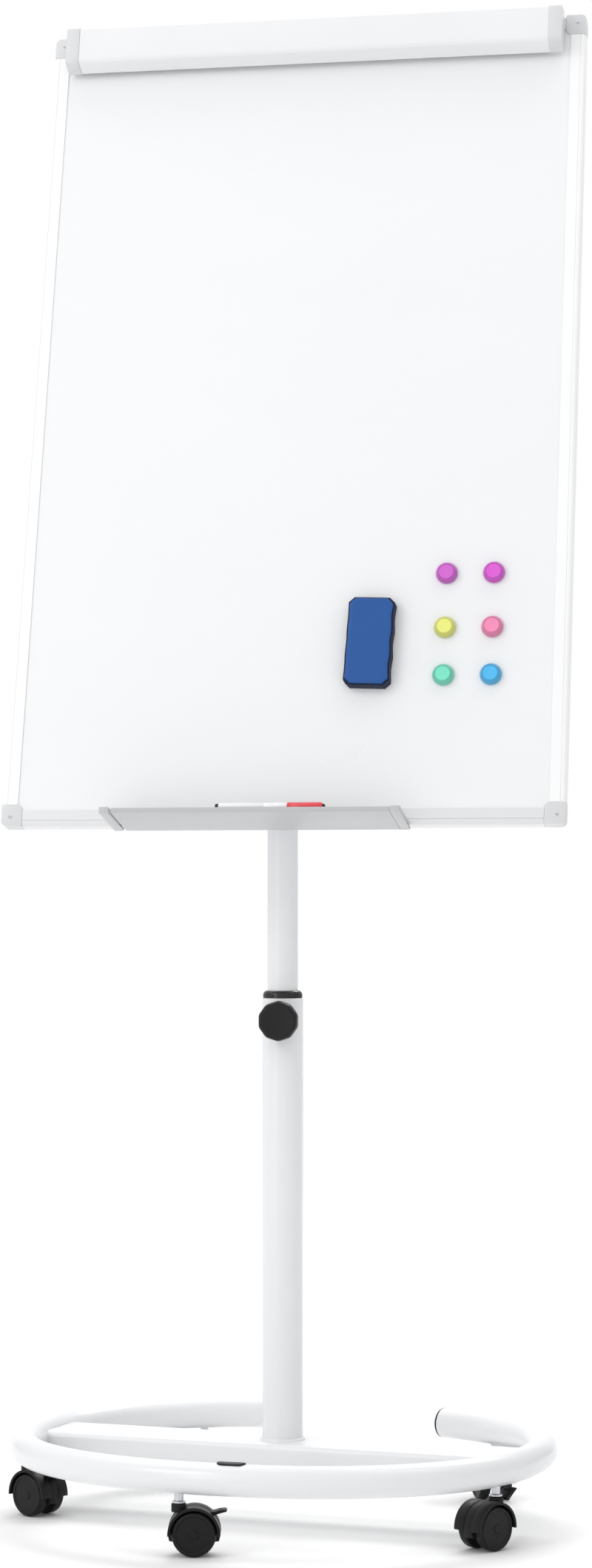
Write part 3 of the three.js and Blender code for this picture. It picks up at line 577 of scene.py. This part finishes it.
def build_ring():
    path = ring_path(RING_STEPS)
    directions = [(b - a).normalized() for a, b in zip(path, path[1:])]
    directions.append(directions[-1])
    rings = [tube_ring(p, d) for p, d in zip(path, directions)]
    piece("ring_tube", skin(rings), FOOT, "base", white_paint, ["base_ring"])

    cap_profile = [
        (0, 5.6), (8, 5.5), (14, 5.1), (16.5, 4.4), (18.2, 3.0), (18.9, 1.9), (18.6, 1.1), (17.6, 1.1),
        (17.6, 0.1), (0, 0.1),
    ]
    for name, end, outward in (("left", path[0], -directions[0]), ("right", path[-1], directions[-1])):
        turn = Vector((0, 0, 1)).rotation_difference(outward).to_matrix().to_4x4()
        cap = moved(lathe(cap_profile, 48), turn, Matrix.Translation(end))
        piece(f"ring_end_cap_{name}", cap, FOOT, "base", black_plastic, [f"ring_cap_{name}"])

    outline = rounded_rectangle(PLUG_LENGTH, PLUG_WIDTH, PLUG_WIDTH / 2 - 0.1, 10)
    at = ring_point(PLUG_ANGLE)
    ahead = ring_point(PLUG_ANGLE + 1) - ring_point(PLUG_ANGLE - 1)
    rings = []
    for share, rise in [(1.0, 0.2), (1.0, 1.2), (0.96, 1.7), (0.86, 2.0)]:
        rings.append([
            (share * x, share * y, math.sqrt(RING_TUBE ** 2 - (share * y) ** 2) + rise) for x, y in outline
        ])
    heading = math.degrees(math.atan2(ahead.y, ahead.x))
    plug = moved(skin(rings), turned_about("Z", heading), Matrix.Translation(at))
    piece("ring_top_plug", plug, FOOT, "base", black_plastic, ["ring_plug"])


def ring_inner_x(y, z):
    """How far out the beam reaches at a height and depth before it meets the ring's tube."""
    centre = RING_HALF_WIDTH * (1 - abs(y / RING_HALF_DEPTH) ** RING_POWER) ** (1 / RING_POWER)
    rise = abs(z - RING_HEIGHT)
    if rise >= RING_TUBE:
        return BEAM_HALF_LENGTH
    return min(BEAM_HALF_LENGTH, centre - math.sqrt(RING_TUBE ** 2 - rise ** 2) + 0.6)


def build_beam():
    middle = (BEAM_TOP + BEAM_BOTTOM) / 2
    outline = [(y, z + middle) for y, z in rounded_rectangle(BEAM_DEPTH, BEAM_TOP - BEAM_BOTTOM, 8, 8)]
    rings = [[(side * ring_inner_x(y, z), y, z) for y, z in outline] for side in (-1, 1)]
    piece("beam_tube", skin(rings), FOOT, "base", white_paint, ["cross_beam"])
    bead = [
        (LOWER_TUBE + out, BEAM_TOP + up)
        for out, up in [(-0.4, -0.2), (3.2, -0.2), (2.6, 1.2), (1.2, 2.6), (-0.4, 3.2), (-0.4, -0.2)]
    ]
    piece("mast_foot_weld", lathe(bead, 72), FOOT, "base", white_paint)
    repaint("mast_bolt", zinc_steel)


# ---------------------------------------------------------------- mast

def lobed_knob(radius, thickness, lobes):
    """A hand knob with shallow flutes, a rounded rim and a slightly dished face."""
    samples = lobes * 12
    back = [(0.80, 0.0), (0.93, 0.9), (0.985, 3.0), (1.0, 0.45 * thickness)]
    front = [(0.985, 3.2), (0.93, 1.0), (0.86, 0.2), (0.78, 0.2), (0.70, 0.9), (0.0, 1.1)]
    levels = back + [(share, thickness - depth) for share, depth in front]
    rings = []
    for share, z in levels:
        ring = []
        for i in range(samples):
            a = 2 * math.pi * i / samples
            flute = 0.03 * radius * (0.5 - 0.5 * math.cos(lobes * a)) ** 0.8
            reach = max(0.02, share) * (radius - flute)
            ring.append((reach * math.cos(a), reach * math.sin(a), z))
        rings.append(ring)
    return skin(rings)


def build_lower_mast():
    turn = [turned_about("X", 90), turned_about("Z", KNOB_ANGLE), Matrix.Translation((0, 0, KNOB_HEIGHT))]
    boss = moved(lathe([(0, 20), (8.0, 20), (8.0, 33.6), (7.2, 34.8), (0, 34.8)], 40), *turn)
    bead = moved(lathe([(7.6, 24.6), (10.4, 24.9), (9.2, 26.4), (8.0, 28.0), (7.6, 24.6)], 40), *turn)
    inner = LOWER_TUBE - TUBE_WALL
    shell = lathe([
        (inner, BEAM_TOP + 0.3), (LOWER_TUBE, BEAM_TOP + 0.3), (LOWER_TUBE, LOWER_TUBE_TOP - 0.5),
        (LOWER_TUBE - 0.5, LOWER_TUBE_TOP), (inner, LOWER_TUBE_TOP), (inner, BEAM_TOP + 0.3),
    ], 72)
    piece("mast_lower_tube", shell, FOOT, "base", white_paint, ["lower_tube"])
    piece("knob_boss", joined(boss, bead), FOOT, "base", white_paint)

    top = LOWER_TUBE_TOP + 0.3
    bore = UPPER_TUBE + 0.35
    foot = LOWER_TUBE_TOP - 50
    collar = lathe([
        (bore, foot), (23.5, foot), (23.5, top), (COLLAR - 0.5, top), (COLLAR, top + 0.5),
        (COLLAR, top + 4.6), (COLLAR - 0.4, top + 5.8), (COLLAR - 1.6, top + 7.6), (COLLAR - 2.8, top + 8.7),
        (COLLAR - 3.6, top + 9.0), (bore + 0.5, top + 9.0), (bore, top + 8.4), (bore, foot),
    ], 72)
    piece("mast_collar_ring", collar, FOOT, "base", collar_plastic, ["mast_collar"])

    knob = moved(lobed_knob(24.8, 21, 10), turned_about("Z", 18), Matrix.Translation((0, 0, KNOB_REACH)))
    stud = lathe([(0, 19.6), (4, 19.6), (4, KNOB_REACH + 1), (0, KNOB_REACH + 1)], 24)
    piece("height_hand_knob", moved(knob, *turn), FOOT, "height_knob", black_plastic,
          ["height_knob"])
    piece("height_knob_stud", moved(stud, *turn), FOOT, "height_knob", zinc_steel)


def build_upper_mast():
    inner = UPPER_TUBE - TUBE_WALL
    tube = lathe([
        (inner, UPPER_TUBE_BOTTOM), (UPPER_TUBE, UPPER_TUBE_BOTTOM), (UPPER_TUBE, UPPER_TUBE_TOP - 0.4),
        (UPPER_TUBE - 0.4, UPPER_TUBE_TOP), (inner, UPPER_TUBE_TOP), (inner, UPPER_TUBE_BOTTOM),
    ], 72)
    piece("mast_upper_tube", tube, MAST, "mast", white_paint, ["upper_tube"])
    repaint("slide_bush", black_plastic)

    lug = along("X", [(-14, 1019), *arc(0, PIVOT_HEIGHT, 14, 180, 0, 24), (14, 1019)], -10, 10)
    rounded(lug, 1.4)
    flange = lathe([(0, 1016.4), (18.6, 1016.4), (19.0, 1016.8), (19.0, 1018.8), (18, 1020), (0, 1020)], 64)
    piece("tilt_lug", joined(lug, flange), MAST, "mast", black_plastic, ["tilt_head"])


def build_tilt_hardware():
    repaint("tilt_bracket", zinc_steel)
    screw = [
        (0, 2.6), (1.2, 2.6), (1.3, 1.2), (2.2, 1.2), (2.3, 2.4), (3.6, 1.9), (4.6, 0.6), (4.7, 0), (0, 0),
    ]
    back = -PIVOT_BEHIND_FACE + BOARD_DEPTH + BACK_RAIL_DEPTH + BRACKET_GAP + BRACKET_PLATE
    heads = [
        moved(lathe(screw, 28), turned_about("X", -90), Matrix.Translation((x, back + 0.05, z)))
        for x in (-38, 38) for z in (-16, 16)
    ]
    piece("bracket_screws", joined(*heads), PIVOT, "board", zinc_steel)
    turn = turned_about("Y", 90)
    knob = moved(lobed_knob(18, 15, 7), Matrix.Translation((0, 0, 14)), turn)
    piece("tilt_hand_knob", knob, PIVOT, "tilt_knob", black_plastic, ["tilt_knob"])
    bolt = lathe([(0, -20), (3.4, -20), (4, -19.4), (4, 15), (0, 15)], 24)
    nut = [(6.6 * math.cos(math.radians(a)), 6.6 * math.sin(math.radians(a))) for a in range(0, 360, 60)]
    hexagon = rounded(along("Z", nut, -18.8, -14.2), 0.4, 2)
    piece("tilt_bolt", moved(joined(bolt, hexagon), turn), PIVOT, "tilt_knob", zinc_steel)


# ---------------------------------------------------------------- board

def rail_outline():
    """The frame rail's section: (inwards from the outer edge, back from the front face)."""
    round_edge = arc(5.5, 5.5, 5.5, 180, 270, 10)
    groove = [(6.2, 0.0), (6.4, 0.7), (7.1, 0.7), (7.3, 0.0)]
    inner = [(19.5, 0), (20, 0.4), (20, 1.2), (13.7, 1.2), (13.7, 11.1), (20, 11.1), (20, 12.5), (12, 12.5)]
    back = [(12, BOARD_DEPTH - 0.6), (11.4, BOARD_DEPTH), (0.6, BOARD_DEPTH), (0, BOARD_DEPTH - 0.6)]
    return round_edge + groove + inner + back


def build_frame():
    half = BOARD_WIDTH / 2
    outline = rail_outline()
    side_from, side_to = CORNER_HEIGHT + 0.3, BOARD_HEIGHT - CORNER_HEIGHT - 0.3
    across = half - CORNER_WIDTH - 0.3
    left = along("Z", [(s - half, w) for s, w in outline], side_from, side_to)
    right = along("Z", [(half - s, w) for s, w in outline], side_from, side_to)
    bottom = along("X", [(w, s) for s, w in outline], -across, across)
    top = along("X", [(w, BOARD_HEIGHT - s) for s, w in outline], -across, across)
    for name, bm, material in (
        ("left", left, side_aluminium_painted_lighter), ("right", right, side_aluminium_painted_lighter),
        ("bottom", bottom, aluminium), ("top", top, aluminium),
    ):
        piece(f"frame_rail_{name}", bm, BOARD, "board", material, [f"rail_{name}"], crease=20)

    screw = [(0, 0.5), (0.9, 0.5), (1.0, -0.4), (1.6, -0.4), (1.7, 0.5), (2.6, 0.1), (2.8, -0.6), (0, -0.6)]
    for level, up in (("bottom", 1), ("top", -1)):
        for side, out in (("left", 1), ("right", -1)):
            face = arc(7, 7, 7, 180, 270, 10) + [(CORNER_WIDTH, 0)]
            face += arc(CORNER_WIDTH - 7, CORNER_HEIGHT - 7, 7, 0, 90, 8) + [(0, CORNER_HEIGHT)]
            place = [(out * (s - half), r if up > 0 else BOARD_HEIGHT - r) for s, r in face]
            block = along("Y", place, -0.4, BOARD_DEPTH)
            rounded(block, 1.1, 3, 50)
            name = f"corner_{level}_{side}"
            piece(f"frame_{name}", block, BOARD, "board", grey_plastic, [name], crease=40)
            screw_height = SCREW_INSET if up > 0 else BOARD_HEIGHT - SCREW_INSET
            at = Matrix.Translation((out * (SCREW_INSET - half), -0.45, screw_height))
            head = moved(lathe(screw, 24), turned_about("X", 90), at)
            piece(f"corner_screw_{level}_{side}", head, BOARD, "board", zinc_steel)

    inset = half - PANEL_INSET
    low, high = PANEL_INSET, BOARD_HEIGHT - PANEL_INSET
    sheet = along("Y", [(-inset, low), (inset, low), (inset, high), (-inset, high)], 1.5, 2.3)
    piece("dry_wipe_sheet", sheet, BOARD, "board", whiteboard, ["writing_sheet"])
    repaint("board_core", backing)
    repaint("back_rail", aluminium)
    plug_outline = [(y + 25.65, z + PIVOT_UP_BOARD) for y, z in rounded_rectangle(14.2, 39.5, 2, 4)]
    plug = rounded(along("X", plug_outline, 0, 3.2), 0.5, 2)
    for name, x in (("left", -345.3), ("right", 342.1)):
        cap = moved(plug.copy(), Matrix.Translation((x, 0, 0)))
        piece(f"back_rail_end_{name}", cap, BOARD, "board", grey_plastic)
    plug.free()


def clamp_side(grow):
    """The clamp's outer side in (back, up) from the hinge line, grown outwards by the amount asked for."""
    top = HINGE_DOWN + grow
    front = HINGE_FORWARD - CLAMP_DEPTH - grow
    bend = HINGE_DOWN - CLAMP_DROP - grow
    upper = arc(front + 4 + grow, top - 4 - grow, 4 + grow, 90, 180, 8)
    lower = arc(front + 6 + grow, bend + 6 + grow, 6 + grow, 180, 255, 8)
    return [(3, top), *upper, *lower, (2, bend - 5)]


def build_clamp():
    hinge = BOARD @ Matrix.Translation((0, -HINGE_FORWARD, BOARD_HEIGHT - HINGE_DOWN))
    left = CLAMP_CENTRE - CLAMP_LENGTH / 2
    right = CLAMP_CENTRE + CLAMP_LENGTH / 2
    section = clamp_side(0) + clamp_side(-2)[::-1]
    bar = along("X", section, left + CLAMP_CAP + 0.2, right - CLAMP_CAP - 0.2)
    piece("clamp_channel", bar, hinge, "clamp", clamp_paint, ["clamp_bar"], crease=40)
    cap_section = [*clamp_side(0.9), (3, HINGE_DOWN - CLAMP_DROP - 4)]
    for name, start in (("left", left), ("right", right - CLAMP_CAP)):
        cap = rounded(along("X", cap_section, start, start + CLAMP_CAP), 1.0, 3, 40)
        piece(f"clamp_end_{name}", cap, hinge, "clamp", grey_plastic,
              [f"clamp_cap_{name}"], crease=40)
    repaint("clamp_rail", aluminium)


def build_tray():
    under = TRAY_FLOOR - 1.5
    front = -TRAY_REACH
    section = [
        (BOARD_DEPTH, under), (BOARD_DEPTH, TRAY_FLOOR), (TRAY_RIB + 1.15, TRAY_FLOOR),
        *arc(TRAY_RIB, 2.1, 0.75, 0, 180, 6), (TRAY_RIB - 0.95, TRAY_FLOOR),
        (front + 3, TRAY_FLOOR), *arc(front + 3, TRAY_FLOOR + 1.5, 1.5, 270, 180, 4),
        *arc(front + 0.75, TRAY_LIP - 0.75, 0.75, 0, 180, 6),
        *arc(front + 1.5, under + 1.5, 1.5, 180, 270, 4),
    ]
    trough = along("X", section, TRAY_LEFT, TRAY_RIGHT)
    piece("pen_tray", trough, BOARD, "board", tray_painted_shade, ["tray"], crease=40)
    side = [
        (BOARD_DEPTH, under - 0.4), (BOARD_DEPTH, TRAY_FLOOR), (-0.3, TRAY_FLOOR), (-0.3, TRAY_LIP + 1),
        (front - 0.5, TRAY_LIP + 1), (front - 0.5, under - 0.4),
    ]
    tongue = [(-3, 0.1), (-3, TRAY_LIP), (-48, TRAY_LIP), (-48, 0.1)]
    ends = [
        ("left", (TRAY_LEFT - 15, TRAY_LEFT - 3), (TRAY_LEFT - 3.5, TRAY_LEFT + 2)),
        ("right", (TRAY_RIGHT + 0.3, TRAY_RIGHT + 12.3), (TRAY_RIGHT - 5, TRAY_RIGHT + 1)),
    ]
    for name, cap_span, tongue_span in ends:
        cap = rounded(along("X", side, *cap_span), 0.8, 3, 60)
        inner = rounded(along("X", tongue, *tongue_span), 0.4, 2, 60)
        piece(f"tray_end_{name}", joined(cap, inner), BOARD, "board", tray_plastic_painted_shade,
              [f"tray_cap_{name}"], crease=40)


# ---------------------------------------------------------------- accessories

def eraser_side(x, y, depth):
    """The eraser's right side from bottom to top: clipped corners, and finger scallops of the depth given."""
    run = y - ERASER_CORNER
    points = []
    for i in range(ERASER_STEPS + 1):
        share = i / ERASER_STEPS
        scallop = 0.5 - 0.5 * math.cos(2 * math.pi * ERASER_GRIPS * share)
        points.append((x - depth * scallop, run * (2 * share - 1)))
    lower = [(x - ERASER_CORNER, -y), (x - 0.4, -run - 0.8)]
    upper = [(x - 0.4, run + 0.8), (x - ERASER_CORNER, y)]
    return lower + points + upper


def eraser_outline(shrink=0.0):
    x, y = ERASER["width"] / 2 - shrink, ERASER["height"] / 2 - shrink
    right, left = (eraser_side(x, y, depth) for depth in ERASER_SCALLOPS)
    return right + [(-p, -q) for p, q in left]


def build_eraser():
    e = ERASER
    space = BOARD @ Matrix.Translation((e["across"], e["front"], e["up"])) @ turned_about("Y", e["turn"])
    levels = [
        (2.3, -0.3), (2.2, -0.7), (2.2, -2.6), (2.4, -3.4), (2.9, -3.9), (3.8, -4.2), (6, -4.3), (12, -4.3),
    ]
    rings = [[(x, y, z) for x, z in eraser_outline(shrink)] for shrink, y in levels]
    piece("eraser_grip", skin(rings), space, "eraser", eraser_blue, ["eraser_shell"])
    layers = []
    for i in range(FELT_LAYERS):
        start = 0.1 + i * FELT_LAYER
        layer = along("Y", eraser_outline(0.25 * (i % 2)), start, start + FELT_LAYER - 0.1)
        layers.append(rounded(layer, 0.5, 2, 60))
    pad = piece("eraser_felt_pad", joined(*layers), space, "eraser", felt, ["eraser_felt"])


def build_magnets():
    """Moulded magnets, each a sloping skirt painted darker, at 0.70 of its colour, as painted shade, with a
    shallow dish set in its top.
    """
    skirt = [
        (0, 0), (12.9, 0), (13.3, 0.25), (13.5, 0.8), (13.5, 3.2), (13.3, 4.0), (10.9, 8.3), (10.3, 8.85),
        (9.6, 9.0), (9.4, 8.2), (0, 8.2),
    ]
    dish = [(0, 8.25), (9.3, 8.25), (9.2, 8.8), (8.6, 8.75), (0, 8.5)]
    places = [(across, up) for up in MAGNET_ROWS for across in MAGNET_COLUMNS]
    for i, ((across, up), (name, colour)) in enumerate(zip(places, MAGNET_COLOURS), start=1):
        space = BOARD @ Matrix.Translation((across, MAGNET_BACK, up)) @ turned_about("X", 90)
        body, slot = f"magnet_{i}", f"magnet_{name}"
        # The skirt piece at level 0.70 carries painted shade on its slope; the dish keeps the full colour.
        for part, profile, level, nodes in (("painted_shade_button", skirt, 0.70, [body]), ("dish", dish, 1.0, [])):
            tones = [tuple(level * share * c for c in colour) for share in (1.0, 0.88)]
            material = surface(f"{slot}_{part}", *tones, (0.30, 0.42), (1300, 0.06), wear=0.35, coat=0.25)
            piece(f"magnet_{part}_{i}", lathe(profile, 56), space, body, material, nodes)


def build_marker():
    back, up = MARKER_AXIS
    place = [turned_about("Y", 90), Matrix.Translation((0, back, up))]
    r = MARKER_RADIUS
    barrel = lathe([
        (0, -62.6), (r - 0.6, -62.6), (r - 0.2, -62.2), (r, -61), (r, -8), (r - 0.25, -7.6), (r - 0.25, -6.4),
        (r, -6), (r, 20.6), (r - 0.4, 21.5), (4.3, 21.6), (4.3, 30.6), (3.6, 31.5), (2.0, 33.6), (1.3, 34.4),
        (1.2, 38.2), (0.7, 38.9), (0, 39),
    ], 48)
    piece("marker_body", moved(barrel, *place), BOARD, "marker", marker_white,
          ["marker_barrel"])
    plug = lathe([(0, -66.9), (3.9, -66.9), (4.5, -66.3), (4.7, -62.9), (0, -62.9)], 40)
    piece("marker_end_plug", moved(plug, *place), BOARD, "marker", marker_dark)
    cap = lathe([
        (4.7, 22), (5.5, 22), (5.9, 22.5), (5.9, 25), (5.65, 25.5), (5.65, 26.4), (5.9, 26.9), (5.9, 61),
        (5.5, 63.6), (4.4, 64.7), (0, 64.7), (0, 62), (4.7, 61), (4.7, 22),
    ], 48)
    piece("marker_red_cap", moved(cap, *place), BOARD, "marker_cap", marker_red,
          ["marker_cap"])
    tip = lathe([(0, 64.9), (3.9, 64.9), (3.6, 66.6), (3.0, 67.3), (0, 67.3)], 32)
    piece("marker_cap_end", moved(tip, *place), BOARD, "marker_cap", marker_dark)


# ---------------------------------------------------------------- casters

def hood_shell(near, far):
    """One wheel's hood: a curved shell over the wheel's tread, between near and far along the axle."""
    outer = arc(0, 0, HOOD_RADIUS, -3, 183, 36)
    inner = arc(0, 0, 28.0, 183, -3, 36)
    return rounded(along("Y", outer + inner, near, far), 0.7, 2, 50)


def wheel_half(side):
    """One of the two discs: a tread with eased shoulders and a face with a raised rim and hub."""
    profile = [
        (0, 20.6), (4.6, 20.6), (5.2, 20.2), (5.6, 19.6), (20.2, 19.6), (20.8, 20.0), (21.4, 20.7),
        (23.4, 20.9), (24.6, 20.3), (25.6, 19.2), (26, 17.8), (26, 9.6), (25.6, 8.4), (24.8, 7.6),
        (20, 7.3), (19.4, 9.0), (8.0, 9.0), (7.4, 7.3), (0, 7.3),
    ]
    disc = moved(lathe(profile, 72), turned_about("X", -90))
    return disc if side > 0 else moved(disc, turned_about("X", 180))


def pedal_mesh():
    outline = [
        *arc(0, 0, 2.5, 100, 300, 12), (6, -0.5), (16.6, 2.5), *arc(16.9, 3.6, 0.9, -60, 90, 6),
        (15.4, 5.1), (9, 4.4), (4, 2.9),
    ]
    slab = rounded(along("Y", outline, -8.4, 8.4), 0.6, 2, 50)
    ribs = []
    for x in (9.5, 12, 14.5):
        ridge = [(x, 3.4), (x + 1, 3.7), (x + 0.9, 5.3), (x + 0.2, 5.2)]
        ribs.append(rounded(along("Y", ridge, -6.6, 6.6), 0.2, 1, 50))
    return joined(slab, *ribs)


def build_caster(name, ring_angle, trail_angle, pedal_side):
    at = ring_point(ring_angle)
    space = FOOT @ Matrix.Translation((at.x, at.y, 0)) @ turned_about("Z", trail_angle)
    axle = Matrix.Translation((TRAIL, 0, WHEEL_RADIUS))
    body = f"caster_{name}"

    left = moved(hood_shell(6.4, 21.5), axle)
    right = moved(hood_shell(-21.5, -6.4), axle)
    web_shape = [*arc(0, 0, 30.6, -18, 198, 36), (-8, -12), (8, -12)]
    web_outline = [(x + TRAIL, z + WHEEL_RADIUS) for x, z in web_shape]
    web = rounded(along("Y", web_outline, -6.5, 6.5), 0.8, 2, 50)
    boss = lathe([
        (0, 50), (8.6, 50), (9.0, 50.5), (9.0, 58.6), (8.4, 59.7), (7.4, 60), (6.6, 60), (6.2, 59.4),
        (0, 59.4),
    ], 40)
    piece(f"caster_hood_{name}", joined(left, right, web, boss), space, body, caster_plastic,
          [f"caster_housing_{name}"])

    axle_pin = moved(lathe([(0, -8), (4, -8), (4, 8), (0, 8)], 24), turned_about("X", 90))
    wheels = joined(wheel_half(1), wheel_half(-1), axle_pin)
    piece(f"caster_discs_{name}", moved(wheels, axle), space, f"wheels_{name}", caster_plastic,
          [f"caster_wheels_{name}"])

    stem = lathe([
        (0, 52), (4, 52), (4, 60.3), (7.6, 60.3), (8, 60.7), (8, 62.2), (7.2, 62.8), (5.5, 63.6), (5.5, 84),
        (5.2, 84.4), (5.2, 86.4), (5.5, 86.8), (5.5, 97), (4.6, 98), (0, 98),
    ], 32)
    piece(f"caster_pin_{name}", stem, space, "base", zinc_steel, [f"caster_stem_{name}"])

    if pedal_side:
        x, z, turn, pitch = PEDAL_PLACES[pedal_side]
        place = [turned_about("Y", -pitch), turned_about("Z", turn), Matrix.Translation((x, 0, z))]
        piece(f"caster_pedal_{name}", moved(pedal_mesh(), *place), space, f"pedal_{name}", caster_plastic,
              [f"brake_pedal_{name}"])


# ---------------------------------------------------------------- studio

def build_camera():
    turn = math.radians(CAMERA_TURN)
    right = Vector((math.cos(turn), math.sin(turn), 0))
    ahead = Vector((-math.sin(turn), math.cos(turn), 0))
    place = CAMERA_SIDE * right - CAMERA_DISTANCE * ahead + Vector((0, 0, CAMERA_HEIGHT))
    data = bpy.data.cameras.new("camera")
    data.lens = CAMERA_LENS
    data.sensor_width = 36
    data.clip_end = 100
    camera = bpy.data.objects.new("camera", data)
    camera.location = FOOT @ place
    camera.rotation_euler = (math.radians(90 + CAMERA_PITCH), 0, turn)
    bpy.context.scene.collection.objects.link(camera)
    bpy.context.scene.camera = camera


def build_floor():
    """A pale floor that brightens into the backdrop beyond the reach of the lights."""
    material, nodes, links, shader = new_material("studio_floor")
    coordinates = nodes.new("ShaderNodeTexCoord").outputs["Object"]
    mottle = noise(nodes, links, coordinates, 2.0, 5.0)
    mottled = spread(nodes, links, mottle, 0.0, 1.0)
    base = tinted(nodes, links, mottled, (0.84, 0.84, 0.84), (0.86, 0.86, 0.86))
    links.new(base, shader.inputs["Base Color"])
    shader.inputs["Roughness"].default_value = 0.8
    distance = nodes.new("ShaderNodeVectorMath")
    distance.operation = "LENGTH"
    links.new(coordinates, distance.inputs[0])
    glow = spread(nodes, links, distance.outputs["Value"], 0.0, FLOOR_GLOW, *FLOOR_FADE)
    links.new(glow, shader.inputs["Emission Strength"])
    shader.inputs["Emission Color"].default_value = (1, 1, 1, 1)
    bm = bmesh.new()
    bmesh.ops.create_grid(bm, x_segments=4, y_segments=4, size=FLOOR_HALF_WIDTH)
    mesh = bpy.data.meshes.new("floor")
    bm.to_mesh(mesh)
    bm.free()
    mesh.materials.append(material)
    floor = bpy.data.objects.new("floor", mesh)
    floor.location.z = -0.0005
    bpy.context.scene.collection.objects.link(floor)


def soft_box(name, place, size, power, target):
    data = bpy.data.lights.new(name, "AREA")
    data.shape = "RECTANGLE"
    data.size, data.size_y = size
    data.energy = power
    light = bpy.data.objects.new(name, data)
    light.location = place
    light.rotation_euler = (Vector(target) - Vector(place)).to_track_quat("-Z", "Y").to_euler()
    bpy.context.scene.collection.objects.link(light)


def build_world():
    """A pale surround, brightest above and in front of the easel, with a white backdrop behind it."""
    world = bpy.data.worlds.new("studio")
    world.use_nodes = True
    nodes, links = world.node_tree.nodes, world.node_tree.links
    direction = nodes.new("ShaderNodeTexCoord").outputs["Generated"]

    def toward(side):
        dot = nodes.new("ShaderNodeVectorMath")
        dot.operation = "DOT_PRODUCT"
        links.new(direction, dot.inputs[0])
        dot.inputs[1].default_value = side
        return dot.outputs["Value"]

    surround = spread(nodes, links, toward(BRIGHT_SIDE), *SURROUND_LEVELS, -1.0, 1.0)
    backdrop = spread(nodes, links, toward(BACKDROP_SIDE), 0.0, BACKDROP_LEVEL, 0.80, 0.90)
    brighter = nodes.new("ShaderNodeMath")
    brighter.operation = "MAXIMUM"
    links.new(surround, brighter.inputs[0])
    links.new(backdrop, brighter.inputs[1])
    links.new(brighter.outputs[0], nodes["Background"].inputs["Strength"])
    nodes["Background"].inputs["Color"].default_value = (1, 1, 1, 1)
    bpy.context.scene.world = world


def build_studio():
    build_floor()
    for light in SOFT_BOXES:
        soft_box(*light)
    build_world()
    bpy.context.scene.view_settings.view_transform = "Standard"


# ---------------------------------------------------------------- assembly

build_ring()
build_beam()
build_lower_mast()
build_upper_mast()
build_tilt_hardware()
build_frame()
build_clamp()
build_tray()
build_eraser()
build_magnets()
build_marker()
for caster in CASTERS:
    build_caster(*caster)
build_camera()
build_studio()

bpy.context.view_layer.update()
